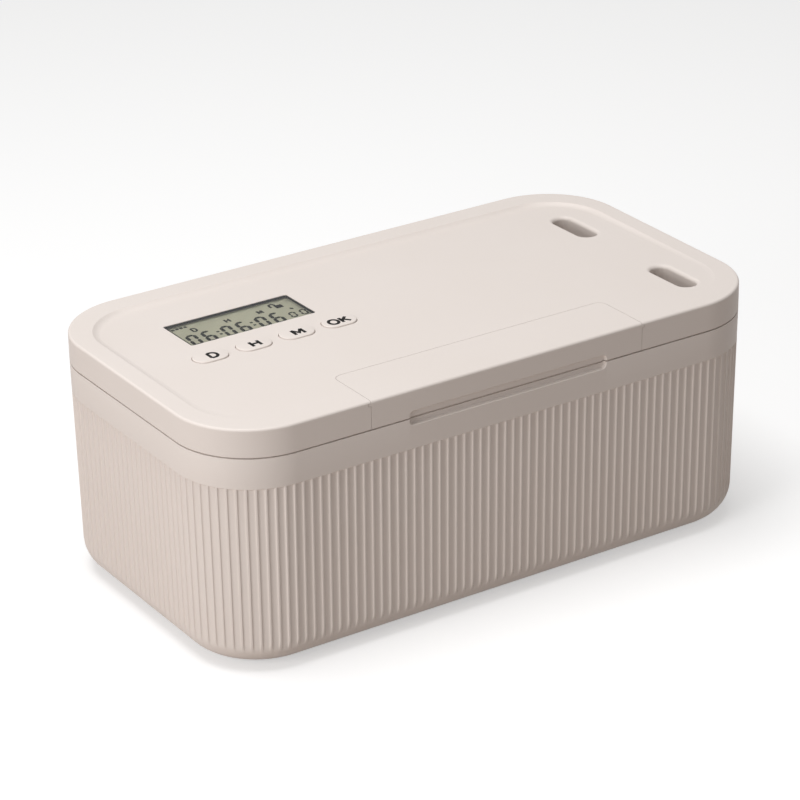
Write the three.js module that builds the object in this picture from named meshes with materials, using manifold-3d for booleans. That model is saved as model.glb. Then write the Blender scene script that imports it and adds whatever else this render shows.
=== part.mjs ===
// A timed lock box: ribbed tub, hinged lid with a display, keys, battery bay and a motor-driven lock.
// Millimetres, +Z up, +X along the box, front towards -Y, origin at the middle of the footprint.
import * as THREE from 'three';
import { mergeVertices } from 'three/addons/utils/BufferGeometryUtils.js';
import Module from 'manifold-3d';

const wasm = await Module();
wasm.setup();

// Box
const boxLength = 220;
const boxWidth = 120.8;
const boxHeight = 88.4;
const cornerRadius = 28;
const lidHeight = 10.2;
const seamGap = 0.4;
const draftShare = 0.015;
const tubWall = 2.5;
const floorThickness = 2.5;
const tubStand = 1;
const bottomFillet = 10.7;
const innerFillet = 7;
const cornerSteps = 8;
const filletSteps = 4;
const roundShare = 0.97;

// Sides of the round pieces
const boreSides = 10;
const screwSides = 8;
const pillarSides = 12;
const rodSides = 16;
const cellSides = 18;
const wideSides = 20;
const endSteps = 3;

// Ribs round the tub
const ribPitch = 3.27;
const ribDepth = 0.6;
const ribBottom = 11;
const ribBand = 10.9;
const ribFade = 1.6;

// Clearances
const fit = 0.3;
const plugClearance = 0.8;
const hingeClearance = 0.5;
const overrun = 1;

// Lid
const lidTopWall = 2.6;
const lidSkirtWall = 2.5;
const lidEdgeFillet = 1.6;
const fieldDepth = 1.2;
const fieldSideRim = 7;
const fieldRearRim = 8.8;
const fieldFrontRim = 8.4;
const fieldCorner = 22;

// Finger notch
const notchHalfLength = 39.3;
const notchHeight = 5.1;
const notchDepth = 1.3;
const notchCorner = 1.6;

// Hinge
const barrelRadius = 2.6;
const hingeSink = 0.1;
const pinRadius = 1.1;
const middleKnuckleHalf = 20;
const lidKnuckleEnd = 60;
const hingeHalf = 95;
const knuckleGap = 0.4;
const tubKnuckleRoot = 8;
const lidKnuckleRoot = 5;
const pinHalf = 71;

// Feet
const footRadius = 7;
const footThickness = 2.2;
const footInsetX = 30;
const footInsetY = 22;

// Cable slots
const slotWidth = 7.5;
const slotLength = 21;
const slotWall = 1.2;
const slotOffset = 1.1;
const rearSlotInset = 35.8;
const frontSlotInset = 27.1;

// Display
const windowLength = 48.7;
const windowWidth = 19.6;
const windowCorner = 2;
const windowEdge = 31.8;
const windowLap = 1.8;
const windowThickness = 1;
const windowSink = 0.15;
const glassThickness = 1.9;
const glassLap = 1.2;
const frameThickness = 2.1;
const stripWidth = 2;

// Keys
const keyLength = 12.6;
const keyWidth = 8.1;
const keyPitch = 16.7;
const keyEdge = 32.3;
const keyRowGap = 4.65;
const keyProud = 0.45;
const keyFlange = 1;
const keyThickness = 1;
const keyTravel = 0.5;
const stemRadius = 1.6;
const switchSize = 6;
const switchHeight = 3.1;
const switchBore = 2.3;

// Main board
const boardLeftMargin = 3.1;
const boardRightMargin = 4.6;
const boardFrontMargin = 5.6;
const boardRearMargin = 1.9;
const boardRearGap = 4.55;
const boardThickness = 1.6;
const boardHoleEdge = 4;
const chipSize = 10;
const chipThickness = 1.6;
const buzzerRadius = 6;

// Screws
const screwRadius = 1;
const screwHeadRadius = 2;
const screwHeadHeight = 1.4;
const bossRadius = 2.9;
const boardScrewLength = 5;
const coverScrewLength = 8;
const strikeScrewLength = 4.2;
const strapScrewLength = 6;

// Batteries
const cellRadius = 7.1;
const cellLength = 49.4;
const cellNub = 1;
const cellNubRadius = 2.7;
const bayWall = 2.4;
const bayRearWall = 2;
const contactThickness = 0.5;
const contactSpring = 3.2;
const contactSpringRadius = 3;
const contactHalfWidth = 5;
const contactHalfHeight = 5;
const tabWidth = 3;
const tabThickness = 0.6;
const tabReach = 4;

// Battery door
const doorHalf = 54;
const doorRear = 23.2;
const doorWall = 2.2;
const doorGap = 0.25;
const doorTongue = 0.9;

// Inner cover
const coverWall = 1.4;
const coverFloor = 1.6;
const coverRear = 11.4;
const cupRadius = 4;
const cupHeight = 2.2;

// Lock
const lockTravel = 5;
const sliderThickness = 2;
const sliderBar = 5;
const armHalfWidth = 4;
const barGap = 5.3;
const strikeThickness = 1.2;
const strikeHalfWidth = 6.5;
const strikeBridge = 2.2;
const strikeFoot = 17;
const strikeGap = 0.5;
const strikeSideGap = 1;
const padDepth = 3.5;
const pocketDepth = 6;

// Rack and pinion
const toothModule = 0.8;
const toothCount = 12;
const rackTeeth = 6;
const pressureAngle = 25;
const addendumShare = 0.8;
const dedendumShare = 1.1;
const toothPlay = 0.15;
const gearWidth = 4.5;
const gearX = 12.3;
const tailWidth = 6;
const shaftRadius = 1.2;
const flankSteps = 2;

// Motor
const motorWidth = 12;
const motorHeight = 10;
const gearboxLength = 9;
const canLength = 15;
const canFlatRadius = 6;
const strapThickness = 0.6;
const strapWidth = 9;
const strapScrewReach = 10.2;
const postRadius = 2.6;
const strapEdge = 1.6;

// Position switch
const sensorLength = 10;
const sensorWidth = 5;
const sensorHeight = 6;
const sensorX = 53;

// Leads
const leadRadius = 0.8;
const leadSteps = 18;

// Colours and finishes
const abs = { color: 0xe9e0da, roughness: 0.55, metalness: 0 };
const absInner = { color: 0xded5cf, roughness: 0.6, metalness: 0 };
const steel = { color: 0xb9bcc0, roughness: 0.35, metalness: 1 };
const rubber = { color: 0x6f6a67, roughness: 0.85, metalness: 0 };
const clear = { color: 0xc8cbb8, roughness: 0.08, metalness: 0 };
const liquidCrystal = { color: 0xa5a68f, roughness: 0.3, metalness: 0 };
const resin = { color: 0x1f6b43, roughness: 0.5, metalness: 0 };
const blackPlastic = { color: 0x232326, roughness: 0.5, metalness: 0 };
const acetal = { color: 0xf2f2ee, roughness: 0.45, metalness: 0 };
const brass = { color: 0xc9a254, roughness: 0.35, metalness: 1 };
const cellWrap = { color: 0x2f4f7d, roughness: 0.4, metalness: 0 };
const redWire = { color: 0xa82a22, roughness: 0.5, metalness: 0 };

// Worked out from the sizes above
const halfLength = boxLength / 2;
const halfWidth = boxWidth / 2;
const seamHeight = boxHeight - lidHeight;
const ribTop = seamHeight - ribBand;
const tubTop = seamHeight - seamGap / 2;
const lidBottom = seamHeight + seamGap / 2;
const lidUnder = boxHeight - lidTopWall;
const coverTop = lidUnder - fit;
const bayFloor = lidUnder - 2 * fit - 2 * cellRadius;
const coverBottom = bayFloor - coverFloor;
const cellZ = bayFloor + fit + cellRadius;
const hingeY = halfWidth - barrelRadius - hingeSink;
const hingeZ = tubTop - hingeSink;
const plugInset = tubWall + plugClearance;
const plugRear = halfWidth - coverRear;
const screwBore = screwRadius + fit;
const headBore = screwHeadRadius + fit;

const sliderBottom = bayFloor + fit;
const sliderTop = sliderBottom + sliderThickness;
const strikeInner = -halfWidth + tubWall + padDepth + fit + strikeThickness;
const pocketBack = -halfWidth + plugInset + pocketDepth;
const tongueTip = pocketBack + fit;
const doorEdge = -halfWidth + doorRear;
const bayRear = doorEdge - doorGap + bayRearWall / 2;
const cellPair = 2 * (cellLength + cellNub) + fit;
const bayHalf = (cellPair + contactSpring + 2 * contactThickness + 3 * fit) / 2;
const pocketHalf = strikeHalfWidth + plugClearance + coverWall;
const armX = bayHalf + bayWall + fit + pocketHalf;
const barFront = bayRear + bayRearWall / 2 + barGap;
const barRear = barFront + sliderBar;

const toothPitch = Math.PI * toothModule;
const pitchRadius = toothModule * toothCount / 2;
const addendum = toothModule * addendumShare;
const dedendum = toothModule * dedendumShare;
const pressure = THREE.MathUtils.degToRad(pressureAngle);
const rackPitchZ = sliderTop + fit + dedendum;
const gearZ = rackPitchZ + pitchRadius;
const gearY = barRear + strapScrewReach + postRadius + 2 * fit;

const windowTop = lidUnder - fit;
const windowBottom = windowTop - windowThickness;
const glassTop = windowBottom - fit;
const glassBottom = glassTop - glassThickness;
const frameTop = glassBottom - fit;
const frameBottom = frameTop - frameThickness;
const boardTop = frameBottom - fit;
const boardBottom = boardTop - boardThickness;
const windowX = -halfLength + windowEdge + windowLength / 2;
const rowRear = plugRear - coverWall - cupRadius - fit;
const boardRear = rowRear - cupRadius - boardRearGap;
const windowY = boardRear - boardRearMargin - glassLap - windowWidth / 2;
const keyY = windowY - windowWidth / 2 - windowLap - keyRowGap - keyFlange - keyWidth / 2;
const keyXs = [0, 1, 2, 3].map((key) => -halfLength + keyEdge + keyPitch * key);
const flangeReach = keyLength / 2 + keyFlange + bossRadius;
const boardLeft = keyXs[0] - flangeReach - boardLeftMargin - boardHoleEdge;
const boardRight = keyXs[3] + flangeReach + boardRightMargin + boardHoleEdge;
const boardFront = keyY - switchSize / 2 - boardFrontMargin;
const slotX = (armX + armHalfWidth + halfLength - plugInset - coverWall) / 2 + slotOffset;
const rearSlotY = halfWidth - rearSlotInset;
const frontSlotY = -halfWidth + frontSlotInset;

// Solids and booleans
function solid(geometry) {
  const bare = geometry.clone();
  bare.deleteAttribute('normal');
  bare.deleteAttribute('uv');
  const merged = mergeVertices(bare);
  return new wasm.Manifold(new wasm.Mesh({
    numProp: 3,
    vertProperties: new Float32Array(merged.attributes.position.array),
    triVerts: new Uint32Array(merged.index.array),
  }));
}

function join(...parts) {
  return parts.reduce((whole, part) => whole.add(part));
}

function cut(whole, ...tools) {
  return tools.reduce((rest, tool) => rest.subtract(tool), whole);
}

function block(x0, x1, y0, y1, z0, z1) {
  const box = new THREE.BoxGeometry(x1 - x0, y1 - y0, z1 - z0);
  return solid(box.translate((x0 + x1) / 2, (y0 + y1) / 2, (z0 + z1) / 2));
}

function roundedShape(x0, x1, y0, y1, radius) {
  const shape = new THREE.Shape();
  shape.absarc(x1 - radius, y0 + radius, radius, -Math.PI / 2, 0);
  shape.absarc(x1 - radius, y1 - radius, radius, 0, Math.PI / 2);
  shape.absarc(x0 + radius, y1 - radius, radius, Math.PI / 2, Math.PI);
  shape.absarc(x0 + radius, y0 + radius, radius, Math.PI, 1.5 * Math.PI);
  return shape;
}

function prism(shape, z0, z1, steps = endSteps) {
  const options = { depth: z1 - z0, bevelEnabled: false, curveSegments: steps };
  return solid(new THREE.ExtrudeGeometry(shape, options).translate(0, 0, z0));
}

function roundedBlock(x0, x1, y0, y1, radius, z0, z1, steps = endSteps) {
  return prism(roundedShape(x0, x1, y0, y1, radius), z0, z1, steps);
}

// A solid of revolution about an upright axis, from [radius, height] pairs that start and end on it.
function turnedZ(profile, x, y, segments = pillarSides) {
  const points = profile.map(([radius, height]) => new THREE.Vector2(radius, height));
  return solid(new THREE.LatheGeometry(points, segments).rotateX(Math.PI / 2).translate(x, y, 0));
}

function pillar(x, y, radius, z0, z1, segments = pillarSides) {
  return turnedZ([[0, z0], [radius, z0], [radius, z1], [0, z1]], x, y, segments);
}

function rodX(x0, x1, y, z, radius, segments = rodSides) {
  const rod = new THREE.CylinderGeometry(radius, radius, x1 - x0, segments).rotateZ(Math.PI / 2);
  return solid(rod.translate((x0 + x1) / 2, y, z));
}

// The outline of the box as stations: a point of the inner skeleton, the outward normal, and the
// distance along the outline, so that every ring of the wall is the same stations at another inset.
const runX = boxLength - 2 * cornerRadius;
const runY = boxWidth - 2 * cornerRadius;
const cornerArc = cornerRadius * Math.PI / 2;
const outlineLength = 2 * (runX + runY) + 4 * cornerArc;

function stationAt(distance) {
  const legs = [
    { start: [halfLength - cornerRadius, -runY / 2], angle: 0, run: runY },
    { start: [runX / 2, halfWidth - cornerRadius], angle: 1, run: runX },
    { start: [-runX / 2, runY / 2], angle: 2, run: runY },
    { start: [-runX / 2, -runY / 2], angle: 3, run: runX },
  ];
  let left = distance;
  for (const { start, angle, run } of legs) {
    const facing = angle * Math.PI / 2;
    const along = [-Math.sin(facing), Math.cos(facing)];
    if (left <= run) {
      const base = [start[0] + along[0] * left, start[1] + along[1] * left];
      return { base, normal: [Math.cos(facing), Math.sin(facing)], distance };
    }
    left -= run;
    if (left <= cornerArc) {
      const turn = facing + left / cornerRadius;
      const base = [start[0] + along[0] * run, start[1] + along[1] * run];
      return { base, normal: [Math.cos(turn), Math.sin(turn)], distance };
    }
    left -= cornerArc;
  }
  return stationAt(0);
}

function coarseStations() {
  const stations = [];
  let travelled = 0;
  for (const run of [runY, runX, runY, runX]) {
    stations.push(stationAt(travelled));
    travelled += run;
    for (let step = 0; step < cornerSteps; step += 1) {
      stations.push(stationAt(travelled + cornerArc * step / cornerSteps));
    }
    travelled += cornerArc;
  }
  return stations;
}

// A closed skin made of rings of points, the lowest ring first.
class Skin {
  constructor() {
    this.points = [];
    this.faces = [];
  }

  ring(stations, inset, z) {
    const first = this.points.length;
    for (const { base, normal } of stations) {
      const reach = cornerRadius - inset;
      this.points.push([base[0] + normal[0] * reach, base[1] + normal[1] * reach, z]);
    }
    return stations.map((station, index) => ({ index: first + index, distance: station.distance }));
  }

  // Joins two rings of any two counts by walking both at once.
  bridge(lower, upper) {
    let low = 0;
    let high = 0;
    const distanceOf = (ring, at) => (at < ring.length ? ring[at].distance : outlineLength);
    while (low < lower.length || high < upper.length) {
      const a = lower[low % lower.length].index;
      const b = upper[high % upper.length].index;
      const lowerFirst = distanceOf(lower, low + 1) <= distanceOf(upper, high + 1);
      if (low < lower.length && (lowerFirst || high >= upper.length)) {
        low += 1;
        this.faces.push([a, lower[low % lower.length].index, b]);
      } else {
        high += 1;
        this.faces.push([a, upper[high % upper.length].index, b]);
      }
    }
  }

  cap(ring, facesUp) {
    for (let step = 1; step + 1 < ring.length; step += 1) {
      const fan = [ring[0].index, ring[step].index, ring[step + 1].index];
      this.faces.push(facesUp ? fan : fan.reverse());
    }
  }

  solid() {
    const geometry = new THREE.BufferGeometry();
    geometry.setAttribute('position', new THREE.Float32BufferAttribute(this.points.flat(), 3));
    geometry.setIndex(this.faces.flat());
    return solid(geometry);
  }
}

// Stacks plain rings, given as [inset, height] pairs, into a closed solid.
function stacked(levels) {
  const skin = new Skin();
  const stations = coarseStations();
  const rings = levels.map(([inset, z]) => skin.ring(stations, inset, z));
  skin.cap(rings[0], false);
  for (let level = 1; level < rings.length; level += 1) {
    skin.bridge(rings[level - 1], rings[level]);
  }
  skin.cap(rings[rings.length - 1], true);
  return skin.solid();
}

const draftAt = (z) => draftShare * (seamHeight - z);

// Levels of a quarter-round edge that starts at the given inset and height.
function filletLevels(inset, z, radius) {
  const levels = [];
  for (let step = 0; step < filletSteps; step += 1) {
    const angle = Math.PI / 2 * step / filletSteps;
    levels.push([inset + radius * (1 - Math.sin(angle)), z + radius * (1 - Math.cos(angle))]);
  }
  return levels;
}

// The outside of the tub, with a ridge and a groove at every rib.
function ribbedOutside() {
  const skin = new Skin();
  const coarse = coarseStations();
  const ribCount = Math.round(outlineLength / ribPitch);
  const ridges = [];
  const valleys = [];
  for (let rib = 0; rib < ribCount; rib += 1) {
    ridges.push(stationAt(outlineLength * rib / ribCount));
    valleys.push(stationAt(outlineLength * (rib + 0.5) / ribCount));
  }
  const filletTop = tubStand + bottomFillet;
  const low = Math.max(ribBottom, filletTop + ribFade);
  const levels = filletLevels(draftAt(filletTop), tubStand, bottomFillet);
  const bottom = levels.map(([inset, z]) => skin.ring(coarse, inset, z));
  skin.cap(bottom[0], false);
  for (let level = 1; level < bottom.length; level += 1) {
    skin.bridge(bottom[level - 1], bottom[level]);
  }
  const ridgeLow = skin.ring(ridges, draftAt(low), low);
  const ridgeHigh = skin.ring(ridges, draftAt(ribTop), ribTop);
  const valleyLow = skin.ring(valleys, draftAt(low + ribFade) + ribDepth, low + ribFade);
  const valleyHigh = skin.ring(valleys, draftAt(ribTop - ribFade) + ribDepth, ribTop - ribFade);
  skin.bridge(bottom[bottom.length - 1], ridgeLow);
  for (let rib = 0; rib < ribCount; rib += 1) {
    const next = (rib + 1) % ribCount;
    const [lowHere, lowNext] = [ridgeLow[rib].index, ridgeLow[next].index];
    const [highHere, highNext] = [ridgeHigh[rib].index, ridgeHigh[next].index];
    const [grooveLow, grooveHigh] = [valleyLow[rib].index, valleyHigh[rib].index];
    skin.faces.push([lowHere, lowNext, grooveLow]);
    skin.faces.push([lowHere, grooveLow, grooveHigh]);
    skin.faces.push([lowHere, grooveHigh, highHere]);
    skin.faces.push([grooveLow, lowNext, highNext]);
    skin.faces.push([grooveLow, highNext, grooveHigh]);
    skin.faces.push([grooveHigh, highNext, highHere]);
  }
  const rim = skin.ring(coarse, draftAt(tubTop), tubTop);
  skin.bridge(ridgeHigh, rim);
  skin.cap(rim, true);
  return skin.solid();
}

function notchCutter() {
  const shape = roundedShape(
    -notchHalfLength, notchHalfLength, seamHeight - notchHeight / 2, seamHeight + notchHeight / 2,
    notchCorner,
  );
  const options = { depth: overrun + notchDepth, bevelEnabled: false, curveSegments: endSteps };
  const cutter = new THREE.ExtrudeGeometry(shape, options).rotateX(Math.PI / 2);
  return solid(cutter.translate(0, -halfWidth + notchDepth, 0));
}

// Hinge knuckles lie along X: [start, end] pairs for one side of the hinge.
const lidKnuckles = [
  [-lidKnuckleEnd, -middleKnuckleHalf - knuckleGap],
  [middleKnuckleHalf + knuckleGap, lidKnuckleEnd],
];
const tubKnuckles = [
  [-hingeHalf, -lidKnuckleEnd - knuckleGap],
  [-middleKnuckleHalf, middleKnuckleHalf],
  [lidKnuckleEnd + knuckleGap, hingeHalf],
];

function knuckle(x0, x1, rootRear, rootLow, rootHigh) {
  const root = block(x0, x1, hingeY - barrelRadius, rootRear, rootLow, rootHigh);
  return join(rodX(x0, x1, hingeY, hingeZ, barrelRadius), root);
}

const pinBore = () => rodX(-pinHalf - fit, halfLength, hingeY, hingeZ, pinRadius + fit, pillarSides);

const strikeXs = [-armX, armX];
const strikeFootZ = coverBottom - strikeFoot;
const strikeTopZ = sliderTop + strikeGap + strikeBridge;
const padTopZ = coverBottom - 2 * plugClearance;
const strikeScrewZ = (strikeFootZ + padTopZ) / 2;
const strikeScrewSpread = strikeHalfWidth / 2;

function screw(length) {
  const profile = [
    [0, -screwHeadHeight], [screwHeadRadius, -screwHeadHeight], [screwHeadRadius, 0],
    [screwRadius, 0], [screwRadius, length], [0, length],
  ];
  return new THREE.LatheGeometry(profile.map(([r, h]) => new THREE.Vector2(r, h)), screwSides);
}

function tub() {
  const cavityLow = tubStand + floorThickness;
  const cavitySide = tubWall + draftAt(cavityLow + innerFillet);
  const cavity = stacked([
    ...filletLevels(cavitySide, cavityLow, innerFillet),
    [cavitySide, cavityLow + innerFillet],
    [tubWall + draftAt(tubTop + overrun), tubTop + overrun],
  ]);
  let body = cut(ribbedOutside(), cavity, notchCutter());
  const rootLow = hingeZ - tubKnuckleRoot;
  for (const [x0, x1] of lidKnuckles) {
    const clearLow = hingeZ - barrelRadius - hingeClearance;
    const room = block(
      x0 - knuckleGap, x1 + knuckleGap, hingeY - barrelRadius - hingeClearance, halfWidth + overrun,
      clearLow, tubTop + overrun,
    );
    body = body.subtract(room);
  }
  const outline = stacked([[-hingeSink, tubStand], [-hingeSink, boxHeight]]);
  for (const [x0, x1] of tubKnuckles) {
    const piece = knuckle(x0, x1, halfWidth - tubWall / 2, rootLow, hingeZ);
    body = body.add(piece.intersect(outline));
  }
  body = body.subtract(pinBore());
  for (const x of strikeXs) {
    const pad = block(
      x - strikeHalfWidth, x + strikeHalfWidth, -halfWidth + tubWall / 2, -halfWidth + tubWall + padDepth,
      strikeFootZ, padTopZ,
    );
    body = body.add(pad);
    for (const side of [-1, 1]) {
      const bore = new THREE.CylinderGeometry(screwBore, screwBore, strikeScrewLength + overrun, boreSides);
      const mouth = -halfWidth + tubWall + padDepth + overrun;
      bore.translate(x + side * strikeScrewSpread, mouth - (strikeScrewLength + overrun) / 2, strikeScrewZ);
      body = body.subtract(solid(bore));
    }
  }
  for (const [x, y] of footPlaces) {
    body = body.subtract(pillar(x, y, footRadius + fit, 0, footThickness + fit, wideSides));
  }
  return body;
}

const footPlaces = [-1, 1].flatMap((sx) => [-1, 1].map(
  (sy) => [sx * (halfLength - footInsetX), sy * (halfWidth - footInsetY)],
));

function strike(x) {
  const plateY = strikeInner - strikeThickness;
  const plate = block(x - strikeHalfWidth, x + strikeHalfWidth, plateY, strikeInner, strikeFootZ, strikeTopZ);
  const windowHole = block(
    x - armHalfWidth - strikeSideGap, x + armHalfWidth + strikeSideGap,
    plateY - overrun, strikeInner + overrun, padTopZ + strikeGap, sliderTop + strikeGap,
  );
  let body = plate.subtract(windowHole);
  for (const side of [-1, 1]) {
    const bore = new THREE.CylinderGeometry(screwBore, screwBore, strikeThickness + 2 * overrun, boreSides);
    bore.translate(x + side * strikeScrewSpread, (plateY + strikeInner) / 2, strikeScrewZ);
    body = body.subtract(solid(bore));
  }
  return body;
}

// The sunken field: its floor slopes from full depth at the rear to nothing at the front.
const fieldRear = halfWidth - fieldRearRim;
const fieldFront = -halfWidth + fieldFrontRim;
const fieldSlope = Math.atan2(fieldDepth, fieldRear - fieldFront);
const surfaceAt = (y) => boxHeight - fieldDepth * THREE.MathUtils.clamp(
  (y - fieldFront) / (fieldRear - fieldFront), 0, 1,
);

function fieldCutter() {
  const shape = roundedShape(
    -halfLength + fieldSideRim, halfLength - fieldSideRim, fieldFront - halfWidth, fieldRear, fieldCorner,
  );
  const options = { depth: 2 * fieldDepth, bevelEnabled: false, curveSegments: cornerSteps };
  const cutter = new THREE.ExtrudeGeometry(shape, options);
  cutter.translate(0, -fieldFront, 0).rotateX(-fieldSlope).translate(0, fieldFront, boxHeight);
  return solid(cutter);
}

function lidOutside() {
  const levels = [[0, lidBottom]];
  for (let step = 0; step <= filletSteps; step += 1) {
    const angle = Math.PI / 2 * step / filletSteps;
    const inset = lidEdgeFillet * (1 - Math.cos(angle));
    levels.push([inset, boxHeight - lidEdgeFillet * (1 - Math.sin(angle))]);
  }
  return cut(stacked(levels), fieldCutter(), notchCutter());
}

const keyNames = ['key_d', 'key_h', 'key_m', 'key_ok'];

function pill(x, extra, z0, z1) {
  const [halfX, halfY] = [keyLength / 2 + extra, keyWidth / 2 + extra];
  const radius = halfY * roundShare;
  return roundedBlock(x - halfX, x + halfX, keyY - halfY, keyY + halfY, radius, z0, z1, endSteps);
}

function windowBlock(extra, z0, z1) {
  const [halfX, halfY] = [windowLength / 2 + extra, windowWidth / 2 + extra];
  return roundedBlock(
    windowX - halfX, windowX + halfX, windowY - halfY, windowY + halfY, windowCorner, z0, z1,
  );
}

const slotCentres = [[slotX, rearSlotY], [slotX, frontSlotY]];

function slotBlock([x, y], extra, z0, z1) {
  const [halfX, halfY] = [slotWidth / 2 + extra, slotLength / 2 + extra];
  const radius = halfX * roundShare;
  return roundedBlock(x - halfX, x + halfX, y - halfY, y + halfY, radius, z0, z1, endSteps);
}

const boardScrews = [boardLeft + boardHoleEdge, boardRight - boardHoleEdge].flatMap(
  (x) => [[x, boardFront + boardHoleEdge], [x, boardRear - boardHoleEdge]],
);

const rowFront = -halfWidth + plugInset + coverWall + cupRadius + 2 * overrun;
const guardX = armX + pocketHalf + cupRadius - coverWall / 2;
const coverScrews = [
  [-guardX, rowFront], [guardX, rowFront],
  [-runX / 2, rowRear], [0, rowRear], [runX / 2, rowRear],
  [halfLength - plugInset - coverWall - cupRadius - fit, (rearSlotY + frontSlotY) / 2],
];

function doorRegion(gap, tongueGap) {
  const plate = block(
    -doorHalf - gap, doorHalf + gap, -halfWidth - overrun, doorEdge + gap,
    lidBottom - overrun, boxHeight + overrun,
  );
  const reach = doorHalf + doorTongue + tongueGap;
  const middle = lidUnder + (lidTopWall - doorTongue) / 2;
  const low = middle - doorTongue / 2 - tongueGap;
  const high = middle + doorTongue / 2 + tongueGap;
  return plate.add(block(-reach, reach, -halfWidth - overrun, doorEdge + gap, low, high));
}

function batteryDoor() {
  const under = boxHeight - doorWall;
  const inside = block(
    -doorHalf - 2 * overrun, doorHalf + 2 * overrun, -halfWidth + doorWall, doorEdge + overrun,
    lidBottom - overrun, under,
  );
  const reach = doorHalf + doorTongue;
  const middle = lidUnder + (lidTopWall - doorTongue) / 2;
  const tongue = block(
    -reach, reach, -halfWidth + fit, doorEdge - doorGap, middle - doorTongue / 2, middle + doorTongue / 2,
  );
  const plate = block(
    -doorHalf, doorHalf, -halfWidth - overrun, doorEdge - doorGap, lidBottom, boxHeight + overrun,
  );
  return cut(lidOutside().intersect(plate), inside).add(tongue);
}

function lidShell() {
  const cavity = stacked([[lidSkirtWall, lidBottom - overrun], [lidSkirtWall, lidUnder]]);
  let body = lidOutside().subtract(cavity);
  const relief = block(
    -hingeHalf - knuckleGap, hingeHalf + knuckleGap, hingeY - barrelRadius - hingeClearance,
    halfWidth + overrun, lidBottom - overrun, hingeZ + barrelRadius + hingeClearance,
  );
  body = body.subtract(relief);
  for (const [x0, x1] of lidKnuckles) {
    body = body.add(knuckle(x0, x1, hingeY + barrelRadius, hingeZ, hingeZ + lidKnuckleRoot));
  }
  body = body.subtract(pinBore());
  const walls = join(
    block(-bayHalf - bayWall, -bayHalf, bayFront, bayRear + bayRearWall / 2, sliderBottom, lidUnder + fit),
    block(bayHalf, bayHalf + bayWall, bayFront, bayRear + bayRearWall / 2, sliderBottom, lidUnder + fit),
    block(
      -bayHalf - bayWall, bayHalf + bayWall, bayRear - bayRearWall / 2, bayRear + bayRearWall / 2,
      sliderBottom, lidUnder + fit,
    ),
  );
  for (const [x, y] of boardScrews) {
    const boss = pillar(x, y, bossRadius, boardTop + fit, lidUnder + fit);
    const bore = pillar(x, y, screwBore, boardTop, boardTop + boardScrewLength - fit, boreSides);
    body = body.add(boss).subtract(bore);
  }
  for (const [x, y] of coverScrews) {
    const low = bayFloor + cupHeight + fit;
    body = body.add(pillar(x, y, bossRadius, low, lidUnder + fit));
    body = body.subtract(pillar(x, y, screwBore, low - overrun, low + coverScrewLength - fit, boreSides));
  }
  for (const centre of slotCentres) {
    body = body.add(slotBlock(centre, slotWall, coverBottom, lidUnder + fit));
    body = body.subtract(slotBlock(centre, 0, coverBottom - overrun, boxHeight + overrun));
  }
  body = cut(body, doorRegion(doorGap, fit)).add(cut(walls, doorFootprint()));
  for (const side of [-1, 1]) {
    const x = side * (bayHalf + bayWall / 2);
    const half = bayWall / 2 + overrun;
    const slot = block(
      x - half, x + half, cellY - tabWidth / 2 - fit, cellY + tabWidth / 2 + fit,
      cellZ - tabThickness / 2 - fit, cellZ + tabThickness / 2 + fit,
    );
    body = body.subtract(slot);
  }
  body = body.subtract(windowBlock(0, lidUnder - overrun, boxHeight + overrun));
  return cut(body, ...keyXs.map((x) => pill(x, fit, lidUnder - overrun, boxHeight + overrun)));
}

const bayFront = -halfWidth + plugInset + coverWall + fit;
const cellY = (bayFront + bayRear - bayRearWall / 2) / 2;

// Keeps the bay's walls a little below the door.
function doorFootprint() {
  return block(
    -doorHalf - doorTongue - fit, doorHalf + doorTongue + fit, -halfWidth, doorEdge + doorGap,
    lidUnder - doorGap, boxHeight,
  );
}

function plugBlock(inset, z0, z1) {
  const radius = cornerRadius - plugInset - inset;
  return roundedBlock(
    -halfLength + plugInset + inset, halfLength - plugInset - inset, -halfWidth + plugInset + inset,
    plugRear - inset, radius, z0, z1, cornerSteps,
  );
}

function innerCover() {
  let body = plugBlock(0, coverBottom, coverTop).subtract(plugBlock(coverWall, bayFloor, coverTop + overrun));
  const front = -halfWidth + plugInset;
  const pocketTop = strikeTopZ + 2 * plugClearance;
  for (const x of strikeXs) {
    const halfPocket = pocketHalf - coverWall;
    const shell = block(
      x - pocketHalf, x + pocketHalf, front + coverWall / 2, pocketBack + coverWall,
      coverBottom, pocketTop + coverWall,
    );
    const room = block(
      x - halfPocket, x + halfPocket, front - overrun, pocketBack, coverBottom - overrun, pocketTop,
    );
    const passage = block(
      x - armHalfWidth - fit, x + armHalfWidth + fit, pocketBack - overrun, pocketBack + coverWall + overrun,
      sliderBottom - fit, sliderTop + fit,
    );
    body = cut(body.add(shell), room, passage);
  }
  for (const [x, y] of coverScrews) {
    body = body.add(pillar(x, y, cupRadius, coverBottom + coverFloor / 2, bayFloor + cupHeight));
    const headRoof = coverBottom + screwHeadHeight + 2 * fit;
    body = body.subtract(pillar(x, y, headBore, coverBottom - overrun, headRoof));
    body = body.subtract(pillar(x, y, screwBore, coverBottom, bayFloor + cupHeight + overrun, boreSides));
  }
  for (const centre of slotCentres) {
    body = body.subtract(slotBlock(centre, slotWall + fit, coverBottom - overrun, bayFloor + overrun));
  }
  const saddles = [gearboxX + gearboxLength / 2, canX + canLength / 2];
  for (const x of saddles) {
    body = body.add(block(
      x - coverWall, x + coverWall, gearY - motorWidth / 2, gearY + motorWidth / 2,
      bayFloor - coverFloor / 2, gearZ - motorHeight / 2 - fit,
    ));
  }
  for (const [x, y] of strapScrews) {
    body = body.add(pillar(x, y, postRadius, bayFloor - coverFloor / 2, earBottom - fit));
    const boreLow = earBottom - strapScrewLength - fit;
    body = body.subtract(pillar(x, y, screwBore, boreLow, earBottom + overrun, boreSides));
  }
  return body;
}

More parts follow.
